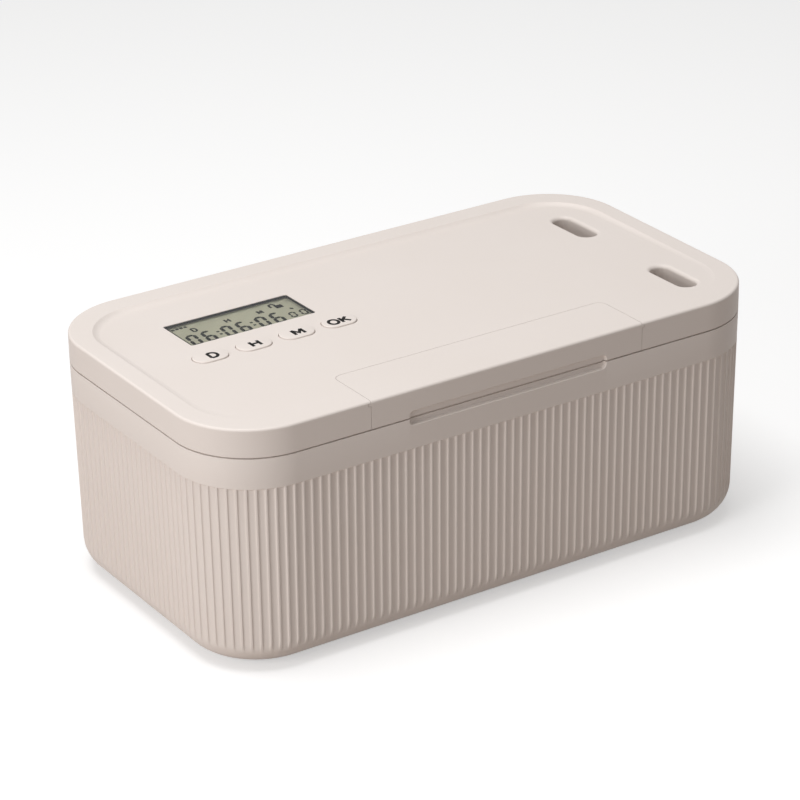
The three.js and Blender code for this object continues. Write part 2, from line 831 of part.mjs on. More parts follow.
// Motor, gearbox and the strap over them, all on the axis of the pinion.
const gearboxX = gearX + gearWidth / 2 + 3 * overrun;
const canX = gearboxX + gearboxLength + fit;
const strapBottom = gearZ + motorHeight / 2 + fit;
const strapX = gearboxX + gearboxLength / 2;
const earBottom = gearZ;
const strapScrews = [-1, 1].map((side) => [strapX, gearY + side * strapScrewReach]);

function gearbox() {
  const body = block(
    gearboxX, gearboxX + gearboxLength, gearY - motorWidth / 2, gearY + motorWidth / 2,
    gearZ - motorHeight / 2, gearZ + motorHeight / 2,
  );
  const bearing = rodX(gearboxX - overrun, gearboxX + overrun, gearY, gearZ, 2 * shaftRadius, pillarSides);
  const [boreStart, boreEnd] = [gearboxX - 2 * overrun, gearboxX + 3 * overrun];
  const bore = rodX(boreStart, boreEnd, gearY, gearZ, shaftRadius + fit, pillarSides);
  return cut(body.add(bearing), bore);
}

function motorCan() {
  const can = rodX(canX, canX + canLength, gearY, gearZ, canFlatRadius, wideSides);
  const flats = block(
    canX - overrun, canX + canLength + overrun, gearY - motorWidth, gearY + motorWidth,
    gearZ - motorHeight / 2, gearZ + motorHeight / 2,
  );
  return can.intersect(flats);
}

function strap() {
  const reach = strapScrewReach + screwBore + strapEdge;
  const side = motorWidth / 2 + fit;
  const [x0, x1] = [strapX - strapWidth / 2, strapX + strapWidth / 2];
  const ears = block(x0, x1, gearY - reach, gearY + reach, earBottom, earBottom + strapThickness);
  const bridge = block(
    x0, x1, gearY - side - strapThickness, gearY + side + strapThickness,
    earBottom, strapBottom + strapThickness,
  );
  const room = block(
    x0 - overrun, x1 + overrun, gearY - side, gearY + side, earBottom - overrun, strapBottom,
  );
  let body = cut(ears.add(bridge), room);
  for (const [x, y] of strapScrews) {
    body = body.subtract(pillar(x, y, screwBore, earBottom - overrun, earBottom + 2 * overrun, boreSides));
  }
  return body;
}

// Involute flank: the angle at which the flank passes a radius, measured from its base circle.
const baseRadius = pitchRadius * Math.cos(pressure);
const involute = (radius) => {
  const reach = Math.sqrt(Math.max((radius / baseRadius) ** 2 - 1, 0));
  return reach - Math.atan(reach);
};

function pinion() {
  const tipRadius = pitchRadius + addendum;
  const rootRadius = pitchRadius - dedendum;
  const halfTooth = (toothPitch / 2 - toothPlay) / 2 / pitchRadius;
  const shape = new THREE.Shape();
  const points = [];
  for (let tooth = 0; tooth < toothCount; tooth += 1) {
    const middle = 2 * Math.PI * tooth / toothCount - Math.PI / 2;
    const flank = [];
    for (let step = 0; step <= flankSteps; step += 1) {
      const start = Math.max(baseRadius, rootRadius);
      const radius = start + (tipRadius - start) * step / flankSteps;
      flank.push([radius, halfTooth + involute(pitchRadius) - involute(radius)]);
    }
    const rootAngle = halfTooth + involute(pitchRadius);
    points.push([rootRadius, middle - rootAngle]);
    flank.forEach(([radius, angle]) => points.push([radius, middle - angle]));
    flank.reverse().forEach(([radius, angle]) => points.push([radius, middle + angle]));
    points.push([rootRadius, middle + rootAngle]);
  }
  points.forEach(([radius, angle], index) => {
    const place = [radius * Math.cos(angle), radius * Math.sin(angle)];
    if (index === 0) shape.moveTo(...place);
    else shape.lineTo(...place);
  });
  shape.closePath();
  const options = { depth: gearWidth, bevelEnabled: false };
  const wheel = new THREE.ExtrudeGeometry(shape, options).translate(0, 0, -gearWidth / 2);
  wheel.rotateX(Math.PI / 2).rotateZ(Math.PI / 2).translate(gearX, gearY, gearZ);
  const bore = rodX(gearX - gearWidth, gearX + gearWidth, gearY, gearZ, shaftRadius + fit, pillarSides);
  return cut(solid(wheel), bore);
}

function lockSlider() {
  const bar = block(
    -armX - armHalfWidth, armX + armHalfWidth, barFront, barRear, sliderBottom, sliderTop,
  );
  const arms = strikeXs.map((x) => block(
    x - armHalfWidth, x + armHalfWidth, tongueTip, barRear, sliderBottom, sliderTop,
  ));
  const rackFront = gearY - rackTeeth / 2 * toothPitch;
  const rackRear = gearY + rackTeeth / 2 * toothPitch + lockTravel;
  const rackRoot = rackPitchZ - dedendum;
  const tail = block(
    gearX - tailWidth / 2, gearX + tailWidth / 2, barRear - overrun, rackRear, sliderBottom, sliderTop,
  );
  const bed = block(
    gearX - gearWidth / 2, gearX + gearWidth / 2, rackFront, rackRear,
    sliderTop - sliderThickness / 2, rackRoot,
  );
  let body = join(bar, ...arms, tail, bed);
  const lean = Math.tan(pressure);
  const halfTooth = (toothPitch / 2 - toothPlay) / 2;
  const toothTotal = Math.floor((rackRear - rackFront) / toothPitch);
  for (let tooth = 0; tooth < toothTotal; tooth += 1) {
    const middle = rackFront + toothPitch * (tooth + 0.5);
    const wide = halfTooth + dedendum * lean;
    const narrow = halfTooth - addendum * lean;
    const shape = new THREE.Shape([
      new THREE.Vector2(middle - wide, rackRoot - sliderThickness / 2),
      new THREE.Vector2(middle + wide, rackRoot - sliderThickness / 2),
      new THREE.Vector2(middle + wide, rackRoot),
      new THREE.Vector2(middle + narrow, rackPitchZ + addendum),
      new THREE.Vector2(middle - narrow, rackPitchZ + addendum),
      new THREE.Vector2(middle - wide, rackRoot),
    ]);
    const options = { depth: gearWidth, bevelEnabled: false };
    const ridge = new THREE.ExtrudeGeometry(shape, options).translate(0, 0, -gearWidth / 2);
    body = body.add(solid(ridge.rotateX(Math.PI / 2).rotateZ(Math.PI / 2).translate(gearX, 0, 0)));
  }
  return body;
}

function keyCap(x) {
  const cap = pill(x, 0, lidUnder - fit - keyThickness / 2, surfaceAt(keyY) + keyProud);
  const flange = pill(x, keyFlange, lidUnder - fit - keyThickness, lidUnder - fit);
  const stem = pillar(x, keyY, stemRadius, stemLow, lidUnder - fit - keyThickness / 2);
  return join(cap, flange, stem);
}

const switchTop = boardTop + fit + switchHeight;
const stemLow = switchTop - switchBore + keyTravel + fit;

function keySwitch(x) {
  const half = switchSize / 2;
  const body = block(x - half, x + half, keyY - half, keyY + half, boardTop + fit, switchTop);
  return body.subtract(pillar(x, keyY, stemRadius + fit, switchTop - switchBore, switchTop + overrun));
}

function board() {
  const plate = block(boardLeft, boardRight, boardFront, boardRear, boardBottom, boardTop);
  return cut(plate, ...boardScrews.map(([x, y]) => pillar(
    x, y, screwBore, boardBottom - overrun, boardTop + overrun, boreSides,
  )));
}

function cell(x0) {
  const profile = [
    [0, 0], [cellRadius - fit, 0], [cellRadius, fit], [cellRadius, cellLength - fit],
    [cellRadius - fit, cellLength], [cellNubRadius, cellLength],
    [cellNubRadius, cellLength + cellNub], [0, cellLength + cellNub],
  ];
  const points = profile.map(([radius, height]) => new THREE.Vector2(radius, height));
  return solid(new THREE.LatheGeometry(points, cellSides).rotateZ(-Math.PI / 2).translate(x0, cellY, cellZ));
}

// Contacts stand in the ends of the bay, each with a tab through the wall.
function contact(side, reach) {
  const outer = bayHalf - fit;
  const plate = block(
    outer - contactThickness, outer, cellY - contactHalfWidth, cellY + contactHalfWidth,
    cellZ - contactHalfHeight, cellZ + contactHalfHeight,
  );
  const tab = block(
    outer - contactThickness, bayHalf + bayWall + tabReach / 2, cellY - tabWidth / 2, cellY + tabWidth / 2,
    cellZ - tabThickness / 2, cellZ + tabThickness / 2,
  );
  let body = plate.add(tab);
  if (reach > 0) {
    const start = outer - contactThickness - reach;
    body = body.add(rodX(start, outer, cellY, cellZ, contactSpringRadius, pillarSides));
  }
  return side > 0 ? body : body.mirror([1, 0, 0]);
}

// A lead is one insulated pair along a route of points in the lid.
function lead(route, steps) {
  const path = new THREE.CatmullRomCurve3(route.map(([x, y, z]) => new THREE.Vector3(x, y, z)));
  const section = new THREE.Shape();
  section.absarc(0, 0, leadRadius, 0, 2 * Math.PI);
  const options = { steps, extrudePath: path, curveSegments: endSteps, bevelEnabled: false };
  return solid(new THREE.ExtrudeGeometry(section, options));
}

const tabEnd = bayHalf + bayWall + tabReach / 2;
const overArms = rackPitchZ + addendum + fit + leadRadius;
const boardMiddle = (boardFront + boardRear) / 2;
const leadEnd = boardBottom - fit - leadRadius;
const sideRoom = tabEnd + tabReach;
const leadRoutes = {
  battery_lead_negative: [
    [-tabEnd - fit, cellY, cellZ], [-sideRoom, cellY + overrun, cellZ],
    [-sideRoom - overrun, bayRear, overArms + fit],
    [-sideRoom, barRear, overArms], [-tabEnd, boardFront - tabReach, overArms],
    [-bayHalf, boardFront + overrun, overArms], [-bayHalf, boardFront + tabReach, leadEnd],
  ],
  battery_lead_positive: [
    [tabEnd + fit, cellY, cellZ], [sideRoom, cellY + overrun, cellZ],
    [sideRoom, bayRear, cellZ - tabReach / 2],
    [bayHalf, bayRear + 2 * tabReach, overArms + overrun], [bayHalf / 2, bayRear + 2 * tabReach, overArms],
    [0, bayRear + 2 * tabReach, overArms], [boardRight, boardFront - tabReach, overArms],
    [boardRight - 2 * tabReach - bossRadius, boardFront, overArms],
    [boardRight - 3 * tabReach, boardFront + tabReach, leadEnd],
  ],
  motor_leads: [
    [canX + canLength + fit, gearY, gearZ], [canX + canLength + tabReach, gearY + overrun, gearZ - overrun],
    [canX + canLength + tabReach / 2, gearY + motorWidth, overArms],
    [canX, gearY + 1.5 * motorWidth, overArms],
    [boardRight + tabReach, boardMiddle, overArms], [boardRight - tabReach, boardMiddle, overArms],
    [boardRight - 2 * tabReach, boardMiddle, leadEnd],
  ],
};

const group = new THREE.Group();

function place(name, body, finish) {
  const { vertProperties, triVerts, numProp } = body.getMesh();
  const points = [];
  for (let at = 0; at < vertProperties.length; at += numProp) {
    points.push(vertProperties[at], vertProperties[at + 1], vertProperties[at + 2]);
  }
  const geometry = new THREE.BufferGeometry();
  geometry.setAttribute('position', new THREE.Float32BufferAttribute(points, 3));
  geometry.setIndex(Array.from(triVerts));
  geometry.computeVertexNormals();
  const mesh = new THREE.Mesh(geometry, new THREE.MeshStandardMaterial(finish));
  mesh.name = name;
  group.add(mesh);
  return mesh;
}

// Screws point up into their bosses, down into the posts, or back into the strike pads.
function placeScrews(prefix, places, length, turn) {
  places.forEach(([x, y, z], index) => {
    const mesh = place(`${prefix}_${index + 1}`, solid(screw(length)), steel);
    mesh.rotation.x = turn;
    mesh.position.set(x, y, z);
  });
}

place('tub', tub(), abs);
footPlaces.forEach(([x, y], index) => {
  place(`foot_${index + 1}`, pillar(x, y, footRadius, 0, footThickness, wideSides), rubber);
});
place('strike_plate_left', strike(-armX), steel);
place('strike_plate_right', strike(armX), steel);
const strikeScrews = strikeXs.flatMap((x) => [-1, 1].map(
  (side) => [x + side * strikeScrewSpread, strikeInner + fit, strikeScrewZ],
));
placeScrews('strike_screw', strikeScrews, strikeScrewLength, Math.PI);
place('hinge_pin', rodX(-pinHalf, pinHalf, hingeY, hingeZ, pinRadius, pillarSides), steel);

place('lid_shell', lidShell(), abs);
place('inner_cover', innerCover(), absInner);
placeScrews('cover_screw', coverScrews.map(
  ([x, y]) => [x, y, coverBottom + screwHeadHeight + fit],
), coverScrewLength, Math.PI / 2);
place('display_window', join(
  windowBlock(windowLap, windowBottom, windowTop),
  windowBlock(-fit, windowTop - windowThickness / 2, surfaceAt(windowY + windowWidth / 2) - windowSink),
), clear);
place('lcd_glass', block(
  windowX - windowLength / 2 - glassLap, windowX + windowLength / 2 + glassLap,
  windowY - windowWidth / 2 - glassLap, windowY + windowWidth / 2 + glassLap, glassBottom, glassTop,
), liquidCrystal);
const stripRear = windowY + windowWidth / 2 + glassLap;
place('lcd_frame', block(
  windowX - windowLength / 2 - glassLap, windowX + windowLength / 2 + glassLap,
  windowY - windowWidth / 2 - glassLap, stripRear - stripWidth - fit, frameBottom, frameTop,
), absInner);
place('lcd_contact_strip', block(
  windowX - windowLength / 2, windowX + windowLength / 2, stripRear - stripWidth, stripRear,
  frameBottom, frameTop,
), rubber);
place('main_board', board(), resin);
placeScrews('board_screw', boardScrews.map(
  ([x, y]) => [x, y, boardBottom - fit],
), boardScrewLength + boardThickness, Math.PI / 2);
place('controller_chip', block(
  windowX - chipSize / 2, windowX + chipSize / 2, windowY - chipSize, windowY,
  boardBottom - fit - chipThickness, boardBottom - fit,
), blackPlastic);
const buzzerX = boardRight - boardHoleEdge - 2 * buzzerRadius;
place('buzzer', pillar(
  buzzerX, windowY - buzzerRadius, buzzerRadius, sliderBottom, boardBottom - fit, wideSides,
), blackPlastic);
keyXs.forEach((x, index) => {
  place(keyNames[index], keyCap(x), abs);
  place(`${keyNames[index]}_switch`, keySwitch(x), blackPlastic);
});

place('battery_door', batteryDoor(), abs);
const cellStart = bayHalf - contactThickness - 2 * fit - cellPair;
place('battery_cell_left', cell(cellStart), cellWrap);
place('battery_cell_right', cell(cellStart + cellLength + cellNub + fit), cellWrap);
place('battery_contact_left', contact(-1, contactSpring - fit), steel);
place('battery_contact_right', contact(1, 0), steel);

place('motor_gearbox', gearbox(), brass);
place('motor_can', motorCan(), steel);
place('motor_strap', strap(), steel);
placeScrews('strap_screw', strapScrews.map(
  ([x, y]) => [x, y, earBottom + strapThickness + fit],
), strapScrewLength, -Math.PI / 2);
place('drive_shaft', rodX(
  gearX - gearWidth / 2 - overrun, gearboxX + 2 * overrun, gearY, gearZ, shaftRadius, pillarSides,
), steel);
place('drive_pinion', pinion(), acetal);
place('lock_slider', lockSlider(), acetal);
place('position_switch', block(
  sensorX - sensorLength / 2, sensorX + sensorLength / 2, barRear + overrun, barRear + overrun + sensorWidth,
  sliderBottom, sliderBottom + sensorHeight,
), blackPlastic);
for (const [name, route] of Object.entries(leadRoutes)) {
  place(name, lead(route, leadSteps), redWire);
}

export default group;
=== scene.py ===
"""Looks of the timed lock box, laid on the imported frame.

Lengths are millimetres until a mesh is made, then metres. +X runs along the box, its front with the
finger notch and the battery door faces -Y, +Z is up, and the origin is under the middle of the box.
"""

from math import atan, cos, hypot, pi, radians, sin

import bmesh
import bpy
from mathutils import Matrix, Vector


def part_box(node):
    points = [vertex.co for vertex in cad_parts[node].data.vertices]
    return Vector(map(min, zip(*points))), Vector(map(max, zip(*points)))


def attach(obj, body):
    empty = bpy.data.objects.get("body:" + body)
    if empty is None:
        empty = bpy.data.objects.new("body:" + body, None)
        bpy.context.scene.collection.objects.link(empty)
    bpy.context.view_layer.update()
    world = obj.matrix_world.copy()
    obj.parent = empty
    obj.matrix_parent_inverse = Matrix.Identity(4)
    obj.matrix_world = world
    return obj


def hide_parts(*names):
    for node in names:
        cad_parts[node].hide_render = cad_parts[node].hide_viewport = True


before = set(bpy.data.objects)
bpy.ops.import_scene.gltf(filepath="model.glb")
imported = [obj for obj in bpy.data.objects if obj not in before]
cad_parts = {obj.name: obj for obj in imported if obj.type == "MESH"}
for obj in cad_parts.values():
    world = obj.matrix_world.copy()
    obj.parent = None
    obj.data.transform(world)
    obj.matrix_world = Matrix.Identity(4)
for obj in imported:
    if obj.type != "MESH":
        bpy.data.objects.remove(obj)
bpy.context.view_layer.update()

METRE = 1000.0

# Camera and light, in metres and degrees
EYE = (-0.55863, -0.85706, 0.52609)
AIM = (0, 0, 0.04304)
ROLL = -0.845
LENS = 146.83
SHIFT = (-0.0125, 0.02775)
AMBIENT = 0.225
FLOOR_GLOW = 0.47
FLOOR_SHADE = 0.66

# Box
LENGTH, WIDTH, HEIGHT = 220.0, 120.8, 88.4
HALF_LENGTH, HALF_WIDTH = LENGTH / 2, WIDTH / 2
CORNER = 28.0
SEAM = 78.2
SEAM_GAP = 0.5
TUB_TOP = SEAM - SEAM_GAP / 2
LID_BOTTOM = SEAM + SEAM_GAP / 2
WALL = 2.5
DRAFT = 0.015
STAND = 1.0
BOTTOM_FILLET = 10.7
FLOOR_TOP = 3.5
INNER_FILLET = 7.0
RIM_ROUND = 0.1
OUTLINE_LENGTH = 2 * (LENGTH + WIDTH - 4 * CORNER) + 2 * pi * CORNER
INSIDE_STEPS = 160
FOOT_PLACES = [(x, y) for x in (-80, 80) for y in (-38.4, 38.4)]
FOOT_POCKET = 7.3
FOOT_SINK = 2.5

# Ribs; the shares say where in each pitch the wall has points
RIB_COUNT = 194
RIB_PITCH = OUTLINE_LENGTH / RIB_COUNT
RIB_TOP = 67.3
RIB_FADE = 0.7
RIB_SHARES = (0, 0.07, 0.095, 0.12, 0.155, 0.2, 0.32, 0.5, 0.68, 0.8, 0.845, 0.88, 0.905, 0.93)
RIB_SIZES = {
    "Pitch": RIB_PITCH / METRE, "Depth": 0.56 / METRE, "Land": 0.16, "Power": 7.0,
    "Top": RIB_TOP / METRE, "Fade": RIB_FADE / METRE,
}

# What the wall's points carry for the rib tree: the distance along the outline, how far inside the
# full wall the point already lies, and the way in
RIB_NOTES = {"along": "FLOAT", "relief": "FLOAT", "inward": "FLOAT_VECTOR"}

# How deep the wall sinks at a point: each row is a name, an operation, and what it works on
RIB_CLAMPED = ("bowl", "rise")
RIB_STEPS = (
    ("turns", "DIVIDE", "along", "Pitch"),
    ("share", "FRACT", "turns"),
    ("middle", "SUBTRACT", "share", 0.5),
    ("off", "ABSOLUTE", "middle"),
    ("channel", "SUBTRACT", 1.0, "Land"),
    ("half_channel", "MULTIPLY", "channel", 0.5),
    ("across", "DIVIDE", "off", "half_channel"),
    ("steep", "POWER", "across", "Power"),
    ("bowl", "SUBTRACT", 1.0, "steep"),
    ("below", "SUBTRACT", "Top", "height"),
    ("rise", "DIVIDE", "below", "Fade"),
    ("rest", "SUBTRACT", 2.0, "rise"),
    ("run_out", "MULTIPLY", "rise", "rest"),
    ("full", "MULTIPLY", "bowl", "run_out"),
    ("deep", "MULTIPLY", "full", "Depth"),
    ("spare", "SUBTRACT", "deep", "relief"),
    ("sink", "MAXIMUM", "spare", 0.0),
)

# Lid
LID_UNDER = 85.8
LID_EDGE = 0.9
BOSS_TOP = LID_UNDER + 0.3
FIELD_DEPTH = 1.2
FIELD_HALF = 103.0
FIELD_FRONT = -52.0
FIELD_REAR = 51.6
FIELD_CORNER = 22.0
COVE = 2.6
COVER_BOTTOM = 69.4
COVER_BOSS_FOOT = 73.5
BAY_FLOOR = 71.0
BAY_HALF = 53.1
BAY_WALL = 2.4
BAY_FRONT = -55.4
BAY_REAR = -35.45

# Finger notch
NOTCH_HALF = 39.3
NOTCH_LOW = 75.65
NOTCH_HIGH = 80.75
NOTCH_IN_LID = 0.9
NOTCH_IN_TUB = 1.4
NOTCH_GAP = 0.4
NOTCH_CORNER = 1.6
NOTCH_LIP = 0.2
NOTCH_SHELF = 1.9

# Hinge
HINGE_Y = 57.7
HINGE_Z = 77.9
BARREL = 2.6
BARREL_ROOM = 0.5
PIN = 1.1
PIN_HALF = 71.0
TUB_KNUCKLES = ((-95, -60.4), (-20, 20), (60.4, 95))
KNUCKLE_FOOT = 69.9
LID_KNUCKLES = ((-60, -20.4), (20.4, 60))
KNUCKLE_TALL = 5.0
HINGE_GAPS = ((-60.4, -20), (20, 60.4))
GAP_SILL = 74.8
LID_RELIEF_HALF = 95.4
LID_RELIEF_TOP = 81.0

# Pads behind the strike plates
STRIKE_XS = (-64.5, 64.5)
PAD_HALF = 6.5
PAD_YS = (-59.15, -54.4)
PAD_ZS = (52.4, 67.8)

# Screws
HEAD_TALL = 1.4
HEAD_RADIUS = 2.0
SHANK = 1.0
THREAD = 0.8
THREAD_DEPTH = 0.22
CROSS_HALF = 1.2
CROSS_THICK = 0.26
BOSS = 2.9
BOARD_SCREWS = ((-91.0, -4.05), (-91.0, 30.75), (-12.8, -4.05), (-12.8, 30.75))
COVER_SCREWS = ((-76.5, -49.7), (76.5, -49.7), (-82.0, 43.3), (0.0, 43.3), (82.0, 43.3), (101.0, -4.35))
STRIKE_SCREWS = (-67.75, -61.25, 61.25, 67.75)
STRAP_SCREWS = ((22.05, -21.95), (22.05, -1.55))

# Battery cells, in line along the front
CELL_Y = -46.425
CELL_Z = 78.4
CELL_STARTS = (-49.1, 1.6)
CELL_RADIUS = 7.1
CELL_BAND = 35.0
CELL_TOP = 49.0
CELL_LENGTH = 49.2
TAB_REACH = 57.5
SPRING_WIRE = 0.32
SPRING_TURNS = 3.5
SPRING_END = -49.45

# Motor and lock
GEAR_Y = -11.75
GEAR_Z = 79.28
MOTOR_START = 26.85
TRAIN_PLATES = ((17.55, 18.55), (25.75, 26.55))
TRAIN_ENDS = (18.5, 25.8)
# Each wheel: teeth, place along the train, width, and how far off the motor's axis in y and z
WHEELS = (
    (17, 19.0, 1.4, 0, 0), (15, 20.8, 1.2, -2.2, 1.4), (17, 22.4, 1.2, 0.6, -0.6),
    (13, 24.0, 1.2, 1.9, 1.2),
)
SWITCH_BOX = (48.0, 58.0, -24.15, -19.15, 71.3, 77.3)
SWITCH_MIDDLE = 74.3

# Board and its parts
BOARD_X = (-95.0, -8.8)
BOARD_Y = (-8.05, 34.75)
BOARD_Z = (78.0, 79.6)
BOARD_HOLE = 1.3
CHIP = (-53.85, 16.85)
CHIP_HALF = 4.4
CHIP_Z = (76.1, 77.7)
LEGS = 11
LEG_PITCH = 0.72
LEG_HALF = 0.16
BUZZER = (-24.8, 15.85, 77.7)
STEM_HOLE = 1.95

# Leads, through the points that the CAD routes pass
LEAD_RADIUS = 0.75
NEGATIVE_ROUTE = (
    (-57.8, -46.425, 78.4), (-61.5, -45.425, 78.4), (-62.5, -36.45, 76.52), (-61.5, -25.15, 76.22),
    (-57.5, -12.05, 76.22), (-53.1, -7.05, 76.22), (-53.1, -4.05, 76.9),
)
POSITIVE_ROUTE = (
    (57.8, -46.425, 78.4), (61.5, -45.425, 78.4), (61.5, -36.45, 76.4), (53.1, -28.45, 77.22),
    (26.55, -28.45, 76.22), (0, -28.45, 76.22), (-8.8, -12.05, 76.22), (-19.7, -8.05, 76.22),
    (-20.8, -4.05, 76.9),
)
MOTOR_ROUTE = (
    (42.15, -11.75, 79.28), (45.85, -10.75, 78.28), (43.85, 0.25, 76.22), (26.85, 6.25, 76.22),
    (-4.8, 13.35, 76.22), (-12.8, 13.35, 76.22), (-16.8, 13.35, 76.9),
)

# Openings of the lid
SLOT_PLACES = ((88.0, 24.6), (88.0, -33.3))
SLOT_HALF_X = 3.75
SLOT_HALF_Y = 10.8
SLOT_WALL = 1.2
SLOT_MOUTH = 1.4
WINDOW_X = (-78.2, -29.5)
WINDOW_Y = (12.05, 31.65)
WINDOW_CORNER = 0.8
WINDOW_MOUTH = 0.12
KEYS = ("key_d", "key_h", "key_m", "key_ok")
KEY_MARKS = ("D", "H", "M", "OK")
KEY_XS = tuple(-77.7 + 16.7 * key for key in range(4))
KEY_Y = 0.55
KEY_HALF_X = 6.3
KEY_HALF_Y = 4.05
KEY_PROUD = 0.45
KEY_EDGE = 0.35
KEY_GAP = 0.2
KEY_MOUTH = 0.15
KEY_FLANGE = (84.5, 85.5)
PLUNGER = 1.6
PLUNGER_Z = (81.5, 85)
MARK_TALL = 5.0
MARK_WEIGHT = 1.12
MARK_THICK = 0.03
MARK_SINK = 0.005
MARK_SHIFTS = (1.0, 0.45, 0.5, -0.2)
LETTER_GAP = 0.34

# Battery door
DOOR_HALF = 54.0
DOOR_REAR = -37.2
DOOR_WALL = 2.2
DOOR_SEAM = 0.14
DOOR_CORNER = 3.0
TONGUE_REACH = 0.9
TONGUE_REAR = DOOR_REAR - 0.25
TONGUE_Z = (86.65, 87.55)
TONGUE_ROOM = 0.12

# Display, on the top of the LCD glass
GLASS_TOP = 84.2
GLASS_THICK = 0.9
GLASS_STEP = 2.3
FILM_X = (-75.9, -28.6)
FILM_Y = (13.0, 32.35)
WINDOW_SINK = 0.15
WINDOW_LAP = 1.8
WINDOW_BOND = 0.6
DIGIT_BASE = 14.7
DIGIT_HEIGHT = 9.0
DIGIT_WIDTH = 4.15
DIGIT_STROKE = 1.25
DIGIT_LEAN = 0.085
DIGIT_XS = (-75.5, -69.65, -62.15, -56.3, -48.8, -42.95)
SMALL_XS = (-36.3, -32.1)
SMALL_BASE = 16.1
SMALL_HEIGHT = 4.6
SMALL_WIDTH = 2.7
SMALL_STROKE = 0.75
COLON_SPOTS = [(x, y) for x in (-63.1, -50.0) for y in (18.35, 20.7)]
LEVEL_XS = (-75.0, -73.4, -71.8, -70.2)
LEVEL_Y = 30.4
LABELS = (
    ("D", -68.85, 26.65, 3.5), ("H", -55.75, 26.9, 3.3), ("M", -42.95, 26.75, 3.1),
    ("S", -32.45, 23.3, 1.5),
)
LABEL_WEIGHT = 0.72
LABEL_NARROW = 0.75
PADLOCK = (-35.45, 28.2)
BARS = {"0": "abcdef", "6": "acdefg"}


def linear(hex_code):
    """Linear colour of an sRGB hex code."""
    values = [int(hex_code[at:at + 2], 16) / 255 for at in (1, 3, 5)]
    return (*[v / 12.92 if v <= 0.04045 else ((v + 0.055) / 1.055) ** 2.4 for v in values], 1.0)


def add_node(tree, kind, inputs=None, **settings):
    """Adds a node with its settings and inputs."""
    made = tree.nodes.new(kind)
    for name, value in settings.items():
        setattr(made, name, value)
    set_inputs(tree, made, inputs or {})
    return made


def set_inputs(tree, node, inputs):
    """Sets inputs of a node. Each is a value, a socket, or a node, whose first output is linked."""
    for socket, value in inputs.items():
        if isinstance(value, bpy.types.Node):
            value = value.outputs[0]
        if isinstance(value, bpy.types.NodeSocket):
            tree.links.new(value, node.inputs[socket])
        else:
            node.inputs[socket].default_value = value


def per_mm(size):
    """Texture scale at which a pattern on Object coordinates repeats about every size millimetres."""
    return METRE / size


def put_in_scene(name, data):
    made = bpy.data.objects.new(name, data)
    bpy.context.scene.collection.objects.link(made)
    return made


# Stage

def place_camera():
    """The photograph's camera: a long lens, from the front left and above."""
    data = bpy.data.cameras.new("camera")
    data.lens = LENS
    data.sensor_width = 36
    data.shift_x, data.shift_y = SHIFT
    aim = (Vector(AIM) - Vector(EYE)).to_track_quat("-Z", "Y").to_matrix()
    turn = aim @ Matrix.Rotation(radians(ROLL), 3, "Z")
    camera = put_in_scene("camera", data)
    camera.matrix_world = Matrix.Translation(EYE) @ turn.to_4x4()
    bpy.context.scene.camera = camera


def bare_tree(owner):
    """The emptied node tree of a world or a material."""
    owner.use_nodes = True
    owner.node_tree.nodes.clear()
    return owner.node_tree


def end_backdrop(tree, output, lit, seen):
    """Ends a backdrop that has one shader for light and one for camera, mirror and glass rays."""
    path = add_node(tree, "ShaderNodeLightPath")
    direct = path.outputs["Is Camera Ray"]
    for ray in ("Is Glossy Ray", "Is Transmission Ray"):
        direct = add_node(tree, "ShaderNodeMath", {0: direct, 1: path.outputs[ray]}, operation="MAXIMUM")
    both = add_node(tree, "ShaderNodeMixShader", {0: direct, 1: lit, 2: seen})
    add_node(tree, output, {"Surface": both})


def light_world():
    """White where it is seen, a weak even sky where it lights."""
    world = bpy.data.worlds.new("studio")
    bpy.context.scene.world = world
    tree = bare_tree(world)
    sky = add_node(tree, "ShaderNodeBackground", {"Color": linear("#FFFDFB"), "Strength": AMBIENT})
    white = add_node(tree, "ShaderNodeBackground", {"Color": (1, 1, 1, 1), "Strength": 1.0})
    end_backdrop(tree, "ShaderNodeOutputWorld", sky, white)


def lay_floor():
    """A pale floor that shows white and keeps the box's shadow."""
    material = bpy.data.materials.new("painted_floor")
    tree = bare_tree(material)
    bounce = add_node(tree, "ShaderNodeBsdfDiffuse", {"Color": linear("#B8ACA4")})
    shaded = add_node(tree, "ShaderNodeBsdfDiffuse", {"Color": (FLOOR_SHADE, FLOOR_SHADE, FLOOR_SHADE, 1)})
    glow = add_node(tree, "ShaderNodeEmission", {"Color": (1, 1, 1, 1), "Strength": FLOOR_GLOW})
    shown = add_node(tree, "ShaderNodeAddShader", {0: shaded, 1: glow})
    end_backdrop(tree, "ShaderNodeOutputMaterial", bounce, shown)
    half = 6 * METRE
    corners = [(x * half, y * half, 0) for x, y in ((-1, -1), (1, -1), (1, 1), (-1, 1))]
    floor = make_object("floor", corners, [(0, 1, 2, 3)])
    floor.data.materials.append(material)


def hang_lamp(name, direction, distance, size, power):
    """A square soft box that looks at the box from a direction."""
    data = bpy.data.lights.new(name, "AREA")
    data.shape = "SQUARE"
    data.size = size
    data.energy = power
    away = Vector(direction).normalized()
    turn = away.to_track_quat("Z", "Y").to_matrix().to_4x4()
    put_in_scene(name, data).matrix_world = Matrix.Translation(Vector((0, 0, 0.05)) + away * distance) @ turn


def set_stage():
    place_camera()
    light_world()
    lay_floor()
    bpy.context.scene.view_settings.view_transform = "Standard"
    hang_lamp("top_soft_box", (-0.16, 0.03, 1), 1.1, 0.67, 8.4)
    hang_lamp("left_soft_box", (-0.93, -0.28, 0.3), 0.66, 0.3, 1.5)


# Materials

